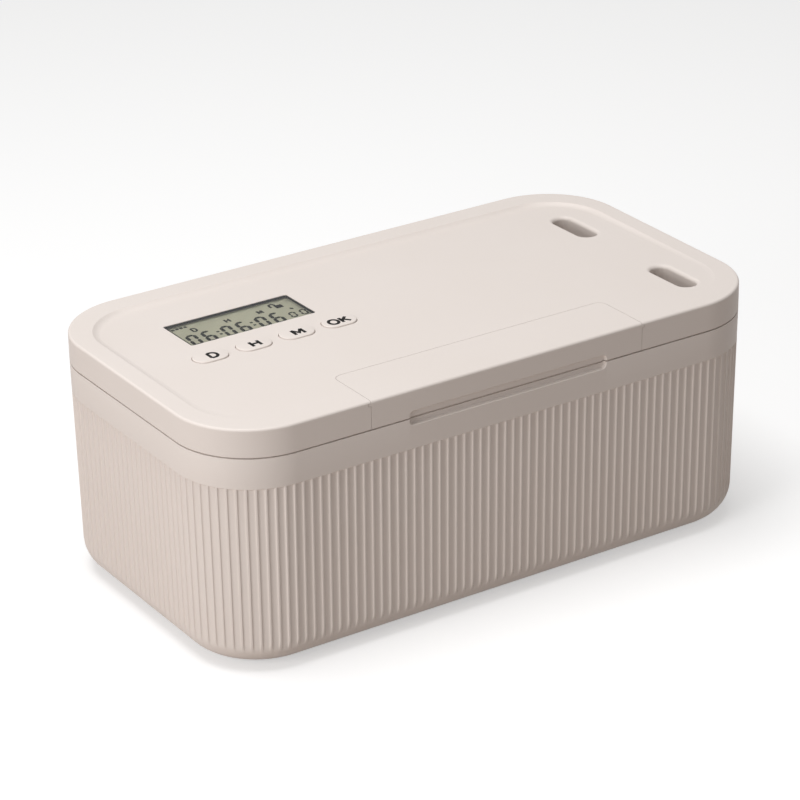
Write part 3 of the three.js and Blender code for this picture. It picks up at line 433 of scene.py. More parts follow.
def new_material(name, colour, roughness, values):
    """A material with its shader and the coordinates that its patterns read."""
    material = bpy.data.materials.new(name)
    material.use_nodes = True
    tree = material.node_tree
    shader = tree.nodes["Principled BSDF"]
    set_inputs(tree, shader, {"Base Color": linear(colour), "Roughness": roughness, **values})
    return material, tree, shader, add_node(tree, "ShaderNodeTexCoord").outputs["Object"]


def add_grain(tree, shader, marks, smooth, rough, strength, depth):
    """Lets a noise make the gloss uneven, from smooth to rough, and press dents of a depth."""
    gloss = add_node(tree, "ShaderNodeMapRange", {
        "Value": marks, "From Min": 0.3, "From Max": 0.7, "To Min": smooth, "To Max": rough,
    })
    bump = add_node(tree, "ShaderNodeBump", {
        "Strength": strength, "Distance": depth / METRE, "Height": marks,
    })
    set_inputs(tree, shader, {"Roughness": gloss, "Normal": bump})


def moulded(name, colour, shade, roughness, grain, depth, ior=1.53, cloud=45, shine=0.5):
    """A moulded plastic: an even colour with faint clouds, a fine grain and a slightly uneven gloss."""
    material, tree, shader, place = new_material(name, colour, roughness, {
        "IOR": ior, "Specular IOR Level": shine,
    })
    clouds = add_node(tree, "ShaderNodeTexNoise", {"Vector": place, "Scale": per_mm(cloud), "Detail": 3.0})
    tint = add_node(tree, "ShaderNodeMix", {
        0: clouds, 6: linear(colour), 7: linear(shade),
    }, data_type="RGBA")
    set_inputs(tree, shader, {"Base Color": tint.outputs[2]})
    pits = add_node(tree, "ShaderNodeTexNoise", {"Vector": place, "Scale": per_mm(grain), "Detail": 2.0})
    add_grain(tree, shader, pits, roughness - 0.05, roughness + 0.05, 0.5, depth)
    return material


def metal(name, colour, roughness, grain, streak=1.0):
    """A bare or plated metal with uneven gloss; streak draws its grain out along X."""
    material, tree, shader, place = new_material(name, colour, roughness, {"Metallic": 1.0})
    drawn = add_node(tree, "ShaderNodeMapping", {"Vector": place, "Scale": (1 / streak, 1, 1)})
    marks = add_node(tree, "ShaderNodeTexNoise", {"Vector": drawn, "Scale": per_mm(grain), "Detail": 4.0})
    add_grain(tree, shader, marks, roughness - 0.07, roughness + 0.09, 0.4, 0.002)
    return material


def layered_rubber():
    """Silicone in thin sheets, clear and carbon-filled by turns, here 0.6 mm so that they show."""
    material, tree, shader, place = new_material("layered_silicone", "#B9B4AE", 0.6, {"IOR": 1.41})
    sheets = add_node(tree, "ShaderNodeTexWave", {
        "Vector": place, "Scale": per_mm(0.6) / 20, "Distortion": 0.0,
    }, bands_direction="X")
    steps = add_node(tree, "ShaderNodeMapRange", {"Value": sheets, "From Min": 0.45, "From Max": 0.55})
    tint = add_node(tree, "ShaderNodeMix", {
        0: steps, 6: linear("#B9B4AE"), 7: linear("#26262A"),
    }, data_type="RGBA")
    set_inputs(tree, shader, {"Base Color": tint.outputs[2]})
    return material


def clear_acrylic():
    """Clear acrylic with a hard coat that mirrors little, so its IOR is set below the bare 1.49."""
    material, tree, shader, place = new_material("hard_coated_acrylic", "#F4F6F3", 0.02, {
        "IOR": 1.22, "Transmission Weight": 1.0,
    })
    wave = add_node(tree, "ShaderNodeTexNoise", {"Vector": place, "Scale": per_mm(18), "Detail": 1.0})
    bump = add_node(tree, "ShaderNodeBump", {"Strength": 0.3, "Distance": 0.01 / METRE, "Height": wave})
    set_inputs(tree, shader, {"Normal": bump})
    return material


def make_finishes():
    """Every finish of the box, by name."""
    return {
        # Warm white ABS from a spark-eroded tool: matt, with a fine even grain of about 0.5 mm.
        "abs": moulded("spark_eroded_abs", "#E9E0DA", "#E5DBD4", 0.55, 0.5, 0.012),
        # The same ABS off a polished tool inside the lid: smoother, with faint flow clouds.
        "inner_abs": moulded("smooth_inner_abs", "#DED5CF", "#D6CCC5", 0.42, 1.4, 0.004, cloud=18),
        # Natural acetal: slightly waxy white, satin.
        "acetal": moulded("natural_acetal", "#F2F2EE", "#E8E8E2", 0.38, 0.9, 0.003, ior=1.48),
        # Black ABS and epoxy: satin, nearly even.
        "black": moulded("black_moulded_abs", "#232326", "#1B1B1E", 0.45, 0.6, 0.008),
        # Moulded nitrile rubber: dull, with a soft bloom.
        "rubber": moulded("moulded_rubber", "#6F6A67", "#5F5B58", 0.8, 0.7, 0.02, ior=1.52, cloud=9),
        # Pad print on the keys: dull, dark and warm.
        "print": moulded("pad_printed_ink", "#181615", "#141211", 0.6, 0.3, 0.002, shine=0.1),
        # Screen print behind the window and on the sides of its pad: dense black.
        "mask": moulded("screen_printed_black", "#060607", "#040405", 0.4, 0.3, 0.001, shine=0.0),
        # Reflective polariser of the display: an even grey green, dull.
        "polariser": moulded("reflective_polariser", "#A19E8B", "#9B9885", 0.35, 0.3, 0.0006, cloud=8,
                             shine=0.0),
        # Driven liquid crystal: nearly black, as dull as the polariser.
        "crystal": moulded("driven_liquid_crystal", "#070806", "#050605", 0.35, 0.3, 0.0006, shine=0.0),
        # Ground edges of the display's glass: pale green, frosted.
        "glass_edge": moulded("ground_glass_edge", "#C3CFC6", "#B4C2B8", 0.6, 0.2, 0.01),
        # Green solder mask over woven laminate: glossy, with a faint weave.
        "board": moulded("solder_mask", "#1F5B3C", "#1A5035", 0.3, 0.7, 0.004, cloud=6),
        # Cut edge of glass-filled epoxy: straw-coloured and rough.
        "laminate": moulded("cut_epoxy_laminate", "#B5A873", "#A39560", 0.65, 0.25, 0.01, cloud=2),
        # Fired ceramic of the small board parts: dull brown.
        "ceramic": moulded("fired_ceramic", "#8A7560", "#7C6854", 0.55, 0.3, 0.003, cloud=2),
        # Shrink sleeve of the cells: glossy dark blue film.
        "sleeve": moulded("shrunk_pvc_sleeve", "#263A52", "#213349", 0.28, 2.5, 0.006, cloud=14),
        # Extruded vinyl insulation: satin, a little uneven.
        "red_vinyl": moulded("red_vinyl", "#A8261E", "#98201A", 0.42, 1.2, 0.008, cloud=6),
        "black_vinyl": moulded("black_vinyl", "#1E1E20", "#19191B", 0.42, 1.2, 0.008, cloud=6),
        # Zinc-plated steel: bright, slightly clouded by the passivation.
        "steel": metal("zinc_plated_steel", "#C4C7CA", 0.3, 0.9),
        # Nickel-plated spring steel: warmer and smoother than zinc.
        "nickel": metal("nickel_plated_spring_steel", "#D2CDC2", 0.22, 0.7),
        # Blanked brass sheet, with the marks of rolling along the motor.
        "brass": metal("rolled_brass", "#C8A35A", 0.3, 0.4, 8),
        # Solder and tinned pads: soft grey shine.
        "tin": metal("tinned_copper", "#CFCDC6", 0.35, 0.4),
        # Foil band printed on the sleeve of a cell.
        "foil": metal("metallised_band", "#C08A55", 0.32, 1.5),
        "layered": layered_rubber(),
        "acrylic": clear_acrylic(),
    }


# Mesh tools. A tool that only cuts or adds has no finish: it takes that of the body.

def metres(points):
    return [[value / METRE for value in point] for point in points]


def make_object(name, points, faces, finish=None, sharp=30):
    """An object from points in millimetres and faces, shaded smooth except over sharp edges."""
    mesh = bpy.data.meshes.new(name)
    mesh.from_pydata(metres(points), [], faces)
    if finish:
        mesh.materials.append(finishes[finish])
    made = put_in_scene(name, mesh)
    shade(made, sharp)
    return made


def shade(piece, sharp=30, even=False):
    """Smooth shading except over sharp edges; even lets the large faces set the normals."""
    piece.data.shade_smooth()
    piece.data.set_sharp_from_angle(angle=radians(sharp))
    if even:
        step = piece.modifiers.new("even", "WEIGHTED_NORMAL")
        step.keep_sharp = True
        step.weight = 100
        bake(piece)


def bake(piece):
    """Turns a piece's modifiers into its plain mesh."""
    graph = bpy.context.evaluated_depsgraph_get()
    mesh = bpy.data.meshes.new_from_object(piece.evaluated_get(graph))
    piece.modifiers.clear()
    piece.data = mesh


def combine(body, tools, operation):
    """Cuts the tools from a body, adds them to it, or keeps what they share with it."""
    for tool in tools:
        step = body.modifiers.new("step", "BOOLEAN")
        step.operation = operation
        step.solver = "MANIFOLD"
        step.object = tool
    bake(body)
    for tool in tools:
        bpy.data.objects.remove(tool)
    return body


def dress(piece, body, slot, *nodes):
    """Attaches a finished piece to the body it rides on and hides the CAD parts that it stands for; the slot
    is not used.
    """
    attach(piece, body)
    if nodes:
        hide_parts(*nodes)


def mark_points(mesh, label, kind, values):
    """Stores a number or a direction on each point of a mesh."""
    row = mesh.attributes.new(label, kind, "POINT")
    row.data.foreach_set("value" if kind == "FLOAT" else "vector", values)


def run_tree(piece, tree, sizes):
    """Runs a geometry node tree on a piece with the given sizes and keeps the plain result."""
    modifier = piece.modifiers.new(tree.name, "NODES")
    modifier.node_group = tree
    for item in tree.interface.items_tree:
        if item.name in sizes:
            modifier[item.identifier] = sizes[item.name]
    bake(piece)


def new_tree(name, labels):
    """A geometry node tree with named number inputs, and what its steps can read, by name."""
    tree = bpy.data.node_groups.new(name, "GeometryNodeTree")
    tree.interface.new_socket("Geometry", in_out="INPUT", socket_type="NodeSocketGeometry")
    for label in labels:
        tree.interface.new_socket(label, in_out="INPUT", socket_type="NodeSocketFloat")
    tree.interface.new_socket("Geometry", in_out="OUTPUT", socket_type="NodeSocketGeometry")
    given = add_node(tree, "NodeGroupInput")
    return tree, {label: given.outputs[label] for label in ("Geometry", *labels)}


def end_tree(tree, geometry, material):
    """Ends a tree in real geometry with its material."""
    real = add_node(tree, "GeometryNodeRealizeInstances", {0: geometry})
    dressed = add_node(tree, "GeometryNodeSetMaterial", {0: real, "Material": material})
    add_node(tree, "NodeGroupOutput", {0: dressed})


def rounded_loop(x0, x1, y0, y1, radius, sides=4, corners=8):
    """A rounded rectangle as points, anticlockwise from the front of its right side."""
    left, right, low, high = x0 + radius, x1 - radius, y0 + radius, y1 - radius
    arcs = []
    for start, x, y in ((-90, right, low), (0, right, high), (90, left, high), (180, left, low)):
        angles = [radians(start + 90 * step / corners) for step in range(corners + 1)]
        arcs.append([(x + radius * cos(angle), y + radius * sin(angle)) for angle in angles])
    points = []
    for arc, after in zip(arcs, [*arcs[1:], arcs[0]]):
        points += arc
        for share in [step / sides for step in range(1, sides)]:
            points.append(tuple(a + (b - a) * share for a, b in zip(arc[-1], after[0])))
    return points


def centred_loop(x, y, half_x, half_y, radius, sides=4, corners=8):
    return rounded_loop(x - half_x, x + half_x, y - half_y, y + half_y, radius, sides, corners)


def at_height(loop, z):
    return [(x, y, z) for x, y in loop]


def stack(outline_at, levels):
    """One outline at every (growth, height) of the levels."""
    return [at_height(outline_at(grow), z) for grow, z in levels]


def quarter(radius, steps):
    """How far in and how far down each point of a rounded edge lies, from its side to its top."""
    turns = [pi / 2 * step / steps for step in range(steps + 1)]
    return [(radius * (1 - cos(turn)), radius * (1 - sin(turn))) for turn in turns]


def skin(name, loops, finish=None, sharp=30):
    """A closed shell through loops of equal counts, the lowest first."""
    count = len(loops[0])
    points = [point for loop in loops for point in loop]
    faces = [tuple(reversed(range(count)))]
    for low in range(0, len(points) - count, count):
        for at in range(count):
            after = (at + 1) % count
            faces.append((low + at, low + after, low + count + after, low + count + at))
    faces.append(tuple(range(len(points) - count, len(points))))
    return make_object(name, points, faces, finish, sharp)


def slab(loop, z0, z1, finish=None, name="tool"):
    return skin(name, [at_height(loop, z0), at_height(loop, z1)], finish)


def block(x0, x1, y0, y1, z0, z1, finish=None, name="tool"):
    return slab([(x1, y0), (x1, y1), (x0, y1), (x0, y0)], z0, z1, finish, name)


def settle(piece, spot, axis=(0, 0, 1)):
    """Turns a piece's mesh from +Z to an axis and moves it to its spot."""
    turn = Vector((0, 0, 1)).rotation_difference(Vector(axis)).to_matrix().to_4x4()
    piece.data.transform(Matrix.Translation(Vector(spot) / METRE) @ turn)
    return piece


def turned(name, profile, finish=None, spot=(0, 0, 0), axis=(0, 0, 1), sides=40, sharp=30):
    """A turned piece from (radius, height) pairs, lowest first, its axis through the spot."""
    angles = [2 * pi * step / sides for step in range(sides)]
    loops = [[(radius * cos(angle), radius * sin(angle), z) for angle in angles]
             for radius, z in profile]
    return settle(skin(name, loops, finish, sharp), spot, axis)


def rod(start, end, radius, finish=None, sides=32):
    """A plain round rod between two points."""
    run = Vector(end) - Vector(start)
    return turned("tool", [(radius, 0), (radius, run.length)], finish, start, run, sides)


def soften(piece, width, steps=2):
    """Rounds a piece's edges."""
    step = piece.modifiers.new("edges", "BEVEL")
    step.width = width / METRE
    step.segments = steps
    step.limit_method = "ANGLE"
    step.angle_limit = radians(40)
    bake(piece)
    shade(piece, even=True)
    return piece


def rounded_solid(node, name, body, slot, finish, width=0.15):
    """A CAD solid as a piece of its own, with its edges rounded and a finish."""
    shape = bmesh.new()
    shape.from_mesh(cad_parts[node].data)
    bmesh.ops.remove_doubles(shape, verts=shape.verts, dist=0.02 / METRE)
    bmesh.ops.dissolve_limit(
        shape, angle_limit=radians(1), verts=shape.verts, edges=shape.edges)
    points = [tuple(vertex.co * METRE) for vertex in shape.verts]
    shape.verts.index_update()
    faces = [[vertex.index for vertex in face.verts] for face in shape.faces]
    shape.free()
    dress(soften(make_object(name, points, faces, finish), width), body, slot, node)


def merge(name, pieces):
    """Several meshes as one piece, each face keeping its finish."""
    shape = bmesh.new()
    used = []
    for piece in pieces:
        first = len(shape.faces)
        shape.from_mesh(piece.data)
        shape.faces.ensure_lookup_table()
        for face in shape.faces[first:]:
            material = piece.data.materials[face.material_index]
            if material not in used:
                used.append(material)
            face.material_index = used.index(material)
    mesh = bpy.data.meshes.new(name)
    shape.to_mesh(mesh)
    shape.free()
    for material in used:
        mesh.materials.append(material)
    for piece in pieces:
        bpy.data.objects.remove(piece)
    return put_in_scene(name, mesh)


def paint(piece, finish, test):
    """Gives a finish to the faces whose centre (mm) and normal pass a test."""
    piece.data.materials.append(finishes[finish])
    for face in piece.data.polygons:
        if test(face.center * METRE, face.normal):
            face.material_index = len(piece.data.materials) - 1


def copy_tree(name, original, axis):
    """A tree that sets an original on every point, its axis turned to the point's facing."""
    tree, given = new_tree(name, ["Size"])
    facing = add_node(
        tree, "GeometryNodeInputNamedAttribute", {"Name": "facing"}, data_type="FLOAT_VECTOR")
    stand = add_node(tree, "FunctionNodeAlignRotationToVector", {"Vector": facing},
                     axis=axis, pivot_axis="Z" if axis == "X" else "AUTO")
    source = add_node(tree, "GeometryNodeObjectInfo", {"Object": original})
    placed = add_node(tree, "GeometryNodeInstanceOnPoints", {
        "Points": given["Geometry"], "Instance": source.outputs["Geometry"], "Rotation": stand,
        "Scale": given["Size"],
    })
    end_tree(tree, placed, original.data.materials[0])
    return tree


def copies(name, original, spots, axis="Z"):
    """One piece with the original at every (point, facing) of the spots."""
    mesh = bpy.data.meshes.new(name)
    mesh.from_pydata(metres(point for point, _ in spots), [], [])
    mark_points(mesh, "facing", "FLOAT_VECTOR", [part for _, way in spots for part in way])
    made = put_in_scene(name, mesh)
    run_tree(made, copy_tree(name, original, axis), {"Size": 1.0})
    bpy.data.objects.remove(original)
    return made


def curve_through(points, steps=8):
    """A smooth line through points, as the CAD's leads run: a centripetal spline."""
    spots = [Vector(point) for point in points]
    spots = [2 * spots[0] - spots[1], *spots, 2 * spots[-1] - spots[-2]]
    line = []
    for four in zip(spots, spots[1:], spots[2:], spots[3:]):
        marks = [0.0]
        for before, after in zip(four, four[1:]):
            marks.append(marks[-1] + (after - before).length ** 0.5)
        for step in range(steps):
            mark = marks[1] + (marks[2] - marks[1]) * step / steps
            row = four
            for spans in (((0, 1), (1, 2), (2, 3)), ((0, 2), (1, 3)), ((1, 2),)):
                row = [row[at].lerp(row[at + 1], (mark - marks[low]) / (marks[high] - marks[low]))
                       for at, (low, high) in enumerate(spans)]
            line += row
    return [*line, spots[-2]]


def tube(name, line, radius, finish, sides=12, off=0.0, lay=10.0, start=0.0):
    """A round wire along a line; off winds it round the line, one turn for each lay length."""
    loops = []
    travelled = 0.0
    side = None
    for at, here in enumerate(line):
        ahead = (line[min(at + 1, len(line) - 1)] - line[max(at - 1, 0)]).normalized()
        if side is None:
            side = ahead.orthogonal().normalized()
        side = (side - ahead * side.dot(ahead)).normalized()
        up = ahead.cross(side)
        if at:
            travelled += (here - line[at - 1]).length
        wind = start + 2 * pi * travelled / lay
        middle = here + (side * cos(wind) + up * sin(wind)) * off
        loops.append([tuple(middle + (side * cos(a) + up * sin(a)) * radius)
                      for a in (2 * pi * step / sides for step in range(sides))])
    return skin(name, loops, finish)


# Tub

def outline(distance):
    """Skeleton point and outward normal of the box's outline at a distance along it."""
    inner_x, inner_y = HALF_LENGTH - CORNER, HALF_WIDTH - CORNER
    legs = ((inner_x, -inner_y, 2 * inner_y), (inner_x, inner_y, 2 * inner_x),
            (-inner_x, inner_y, 2 * inner_y), (-inner_x, -inner_y, 2 * inner_x))
    arc = CORNER * pi / 2
    for number, (x, y, run) in enumerate(legs):
        if distance <= run + arc or number == 3:
            break
        distance -= run + arc
    facing = number * pi / 2
    ahead = min(distance, run)
    turn = facing + max(distance - run, 0) / CORNER
    base = (x - sin(facing) * ahead, y + cos(facing) * ahead)
    return base, (cos(turn), sin(turn))


def drafted(z):
    return DRAFT * (SEAM - z)


def fillet(inset, z, radius, steps):
    """Inset and height of each level of a round bottom edge, from its foot to the wall."""
    levels = []
    for step in range(steps + 1):
        angle = pi / 2 * (1 - (1 - step / steps) ** 1.6)
        levels.append((inset + radius * (1 - sin(angle)), z + radius * (1 - cos(angle))))
    return levels


class TubSkin:
    """The tub's shell, laid ring by ring, with what the rib tree reads at each point."""

    def __init__(self):
        self.points = []
        self.faces = []
        self.notes = {label: [] for label in RIB_NOTES}

    def ring(self, marks, inset, z, relief=9.0):
        """Lays a ring through the marks, at an inset from the widest outline."""
        first = len(self.points)
        for distance in marks:
            base, normal = outline(distance)
            reach = CORNER - inset
            self.points.append((base[0] + normal[0] * reach, base[1] + normal[1] * reach, z))
            self.notes["along"].append(distance / METRE)
            self.notes["relief"].append(relief / METRE)
            self.notes["inward"] += (-normal[0], -normal[1], 0)
        return first, marks

    def walk(self, *rings):
        """Joins two rings of any counts, the lower first, by walking both at once."""
        steps = [(mark, ring) for ring in (0, 1) for mark in (*rings[ring][1][1:], OUTLINE_LENGTH)]
        reached = [0, 0]
        for _, ring in sorted(steps):
            low, high = [first + at % len(marks) for (first, marks), at in zip(rings, reached)]
            reached[ring] += 1
            first, marks = rings[ring]
            self.faces.append((low, first + reached[ring] % len(marks), high))

    def band(self, low, high):
        """Joins two rings of equal counts."""
        count = len(low[1])
        for at in range(count):
            after = (at + 1) % count
            self.faces.append((low[0] + at, low[0] + after, high[0] + after, high[0] + at))


def rib_tree():
    """Sinks a flat channel between every two ribs, along the outline."""
    tree, given = new_tree("ribs", RIB_SIZES)
    for label, kind in RIB_NOTES.items():
        given[label] = add_node(tree, "GeometryNodeInputNamedAttribute", {"Name": label}, data_type=kind)
    position = add_node(tree, "GeometryNodeInputPosition")
    given["height"] = add_node(tree, "ShaderNodeSeparateXYZ", {0: position}).outputs["Z"]
    for name, operation, *values in RIB_STEPS:
        inputs = {at: given.get(value, value) for at, value in enumerate(values)}
        given[name] = add_node(
            tree, "ShaderNodeMath", inputs, operation=operation, use_clamp=name in RIB_CLAMPED)
    push = add_node(
        tree, "ShaderNodeVectorMath", {0: given["inward"], 3: given["sink"]}, operation="SCALE")
    moved = add_node(tree, "GeometryNodeSetPosition", {0: given["Geometry"], "Offset": push})
    end_tree(tree, moved, finishes["abs"])
    return tree


def tub_levels():
    """Inset and height of every ring of the outer wall, from the foot to the rim."""
    wall_foot = STAND + BOTTOM_FILLET
    groove_end = RIB_TOP - RIB_FADE
    heights = [wall_foot + (groove_end - wall_foot) * step / 4 for step in range(1, 5)]
    heights += [groove_end + RIB_FADE * step / 5 for step in range(1, 6)]
    heights += [RIB_TOP + 0.3, TUB_TOP - RIM_ROUND]
    levels = fillet(drafted(wall_foot), STAND, BOTTOM_FILLET, 12) + [(drafted(z), z) for z in heights]
    rim = quarter(RIM_ROUND, 3)[1:]
    return levels + [(drafted(TUB_TOP) + inward, TUB_TOP - down) for inward, down in rim]


def tub_shell():
    """The ribbed wall, the rim, the inside and the underside as one shell."""
    fine = [(rib + share) * RIB_PITCH for rib in range(RIB_COUNT) for share in RIB_SHARES]
    coarse = [OUTLINE_LENGTH * step / INSIDE_STEPS for step in range(INSIDE_STEPS)]
    shell = TubSkin()
    outer = [shell.ring(fine, inset, z, inset - drafted(z)) for inset, z in tub_levels()]
    for low, high in zip(outer, outer[1:]):
        shell.band(low, high)
    under = shell.ring(coarse, tub_levels()[0][0] + 2, STAND)
    shell.walk(under, outer[0])
    shell.faces.append(tuple(reversed(range(under[0], under[0] + len(coarse)))))
    foot = WALL + drafted(FLOOR_TOP + INNER_FILLET)
    inside = [(WALL + drafted(TUB_TOP) + RIM_ROUND, TUB_TOP), (WALL + drafted(TUB_TOP), TUB_TOP - 0.3),
              (foot, FLOOR_TOP + INNER_FILLET)]
    inside += reversed(fillet(foot, FLOOR_TOP, INNER_FILLET, 8)[:-1])
    inner = [shell.ring(coarse, inset, z) for inset, z in inside]
    shell.walk(outer[-1], inner[0])
    for high, low in zip(inner, inner[1:]):
        shell.band(high, low)
    shell.faces.append(tuple(range(inner[-1][0], inner[-1][0] + len(coarse))))
    piece = make_object("tub_shell", shell.points, shell.faces, "abs")
    for label, kind in RIB_NOTES.items():
        mark_points(piece.data, label, kind, shell.notes[label])
    run_tree(piece, rib_tree(), RIB_SIZES)
    for label in RIB_NOTES:
        piece.data.attributes.remove(piece.data.attributes[label])
    return piece


def notch_tool(depth):
    """The finger notch with a softened mouth and back."""
    loops = []
    back = -HALF_WIDTH + depth
    for y, grow in ((-HALF_WIDTH - 1, NOTCH_LIP + 1), (-HALF_WIDTH + NOTCH_LIP, 0),
                    (back - 0.3, 0), (back, -0.3)):
        loop = rounded_loop(-NOTCH_HALF - grow, NOTCH_HALF + grow, -NOTCH_HIGH - grow, -NOTCH_LOW + grow,
                            NOTCH_CORNER + grow, corners=5)
        loops.append([(x, y, -down) for x, down in loop])
    return skin("tool", loops)


def knuckle(x0, x1, rear, z0, z1):
    """A hinge barrel and the web that joins it to its wall."""
    return [rod((x0, HINGE_Y, HINGE_Z), (x1, HINGE_Y, HINGE_Z), BARREL),
            block(x0, x1, HINGE_Y - BARREL, rear, z0, z1)]


def make_tub():
    tub = tub_shell()
    reach = NOTCH_HALF - NOTCH_GAP
    cuts = [notch_tool(NOTCH_IN_TUB), block(-reach, reach, -HALF_WIDTH - 1, -HALF_WIDTH + NOTCH_SHELF,
                                            TUB_TOP - NOTCH_GAP, TUB_TOP + 1)]
    cuts += [block(x0, x1, HINGE_Y - BARREL - BARREL_ROOM, HALF_WIDTH + 1, GAP_SILL, TUB_TOP + 1)
             for x0, x1 in HINGE_GAPS]
    cuts += [rod((x, y, 0), (x, y, FOOT_SINK), FOOT_POCKET) for x, y in FOOT_PLACES]
    combine(tub, cuts, "DIFFERENCE")
    adds = []
    for x0, x1 in TUB_KNUCKLES:
        adds += knuckle(x0, x1, HALF_WIDTH - WALL / 2, KNUCKLE_FOOT, HINGE_Z)
    adds += [block(x - PAD_HALF, x + PAD_HALF, *PAD_YS, *PAD_ZS) for x in STRIKE_XS]
    shade(combine(tub, adds, "UNION"))
    dress(tub, "tub", "abs_shell", "tub")


# Lid and battery door

def surface(y):
    """Height of the sunken field's floor."""
    share = (y - FIELD_FRONT) / (FIELD_REAR - FIELD_FRONT)
    return HEIGHT - FIELD_DEPTH * min(max(share, 0), 1)


def lid_loop(inset):
    return centred_loop(0, 0, HALF_LENGTH - inset, HALF_WIDTH - inset, CORNER - inset, 12, 20)


def lid_outside(name):
    """The lid's outer form: skirt, edge, rim and the field with its cove."""
    levels = [(RIM_ROUND, LID_BOTTOM), (0, LID_BOTTOM + RIM_ROUND)]
    loops = stack(lid_loop, levels + [(inward, HEIGHT - down) for inward, down in quarter(LID_EDGE, 6)])
    for step in (-0.08, 0.08, 0.35, 0.8, 1.3, 1.9, COVE):
        loop = rounded_loop(-FIELD_HALF + step, FIELD_HALF - step, FIELD_FRONT + step,
                            FIELD_REAR - step, FIELD_CORNER - step, 12, 20)
        fall = 1 - (1 - max(step, 0) / COVE) ** 2
        loops.append([(x, y, HEIGHT - (HEIGHT - surface(y)) * fall) for x, y in loop])
    return skin(name, loops, "abs")


def flared_tool(outline_at, low, mouth):
    """A cutter for a hole through the field, with a rounded mouth. outline_at(grow) is its outline."""
    loops = [at_height(outline_at(0), low)]
    for inward, down in quarter(mouth, 5):
        loops.append([(x, y, surface(y) - down) for x, y in outline_at(inward)])
    loops.append(at_height(outline_at(mouth + 1), HEIGHT + 1))
    return skin("tool", loops)


def slot_loop(place, grow):
    half_x, half_y = SLOT_HALF_X + grow, SLOT_HALF_Y + grow
    return centred_loop(*place, half_x, half_y, half_x * 0.97, corners=10)


def window_loop(grow):
    return rounded_loop(WINDOW_X[0] - grow, WINDOW_X[1] + grow, WINDOW_Y[0] - grow, WINDOW_Y[1] + grow,
                        WINDOW_CORNER + grow)


def pill_loop(x, grow):
    half_x, half_y = KEY_HALF_X + grow, KEY_HALF_Y + grow
    return centred_loop(x, KEY_Y, half_x, half_y, half_y * 0.97, corners=10)


def door_block(grow):
    loop = rounded_loop(-DOOR_HALF - grow, DOOR_HALF + grow, -HALF_WIDTH - 8, DOOR_REAR + grow,
                        DOOR_CORNER + grow)
    return slab(loop, LID_BOTTOM - 1, HEIGHT + 1)


def tongue_block(grow):
    reach = DOOR_HALF + TONGUE_REACH + grow
    return block(-reach, reach, -HALF_WIDTH - 1, TONGUE_REAR + grow, TONGUE_Z[0] - grow, TONGUE_Z[1] + grow)


def lid_inside():
    """What is cut from the lid: its inside, with a coved ceiling, and the room for the tub's knuckles."""
    under = stack(lid_loop, ((WALL, LID_BOTTOM - 1), (WALL, LID_UNDER - 1.5),
                             (WALL + 0.45, LID_UNDER - 0.45), (WALL + 1.5, LID_UNDER)))
    relief = block(-LID_RELIEF_HALF, LID_RELIEF_HALF, HINGE_Y - BARREL - BARREL_ROOM, HALF_WIDTH + 1,
                   LID_BOTTOM - 1, LID_RELIEF_TOP)
    return [skin("tool", under), relief]


def lid_adds():
    """What stands inside the lid: knuckles, slot walls, screw bosses and the walls of the bay."""
    adds = []
    for x0, x1 in LID_KNUCKLES:
        adds += knuckle(x0, x1, HINGE_Y + BARREL, HINGE_Z, HINGE_Z + KNUCKLE_TALL)
    adds += [slab(slot_loop(place, SLOT_WALL), COVER_BOTTOM, BOSS_TOP) for place in SLOT_PLACES]
    adds += [rod((x, y, BOARD_Z[1] + 0.3), (x, y, BOSS_TOP), BOSS) for x, y in BOARD_SCREWS]
    adds += [rod((x, y, COVER_BOSS_FOOT), (x, y, BOSS_TOP), BOSS) for x, y in COVER_SCREWS]
    side = BAY_HALF + BAY_WALL
    walls = ((-side, -BAY_HALF, BAY_FRONT), (BAY_HALF, side, BAY_FRONT), (-side, side, BAY_REAR - 2))
    return adds + [block(x0, x1, y0, BAY_REAR, BAY_FLOOR + 0.3, BOSS_TOP) for x0, x1, y0 in walls]


def lid_openings():
    """What is cut through the lid: door, tongue channel, cable slots, window, key holes and notch."""
    cuts = [door_block(DOOR_SEAM), tongue_block(TONGUE_ROOM)]
    cuts += [flared_tool(lambda grow: slot_loop(place, grow), COVER_BOTTOM - 1, SLOT_MOUTH)
             for place in SLOT_PLACES]
    cuts.append(flared_tool(window_loop, LID_UNDER - 1, WINDOW_MOUTH))
    cuts += [flared_tool(lambda grow: pill_loop(x, KEY_GAP + grow), LID_UNDER - 1, KEY_MOUTH)
             for x in KEY_XS]
    return [*cuts, notch_tool(NOTCH_IN_LID)]


def make_lid():
    lid = combine(lid_outside("lid_casing"), lid_inside(), "DIFFERENCE")
    combine(lid, lid_adds(), "UNION")
    combine(lid, lid_openings(), "DIFFERENCE")
    shade(lid, even=True)
    dress(lid, "lid", "abs_shell", "lid_shell")


def make_door():
    plate = combine(door_block(0), [tongue_block(0)], "UNION")
    door = combine(lid_outside("door_panel"), [plate], "INTERSECT")
    inside = block(-DOOR_HALF + 0.9, DOOR_HALF - 0.9, -HALF_WIDTH + DOOR_WALL, DOOR_REAR + 1,
                   LID_BOTTOM - 1, HEIGHT - DOOR_WALL)
    combine(door, [inside, notch_tool(NOTCH_IN_LID)], "DIFFERENCE")
    shade(door, even=True)
    dress(door, "battery_door", "abs_shell", "battery_door")


# Keys

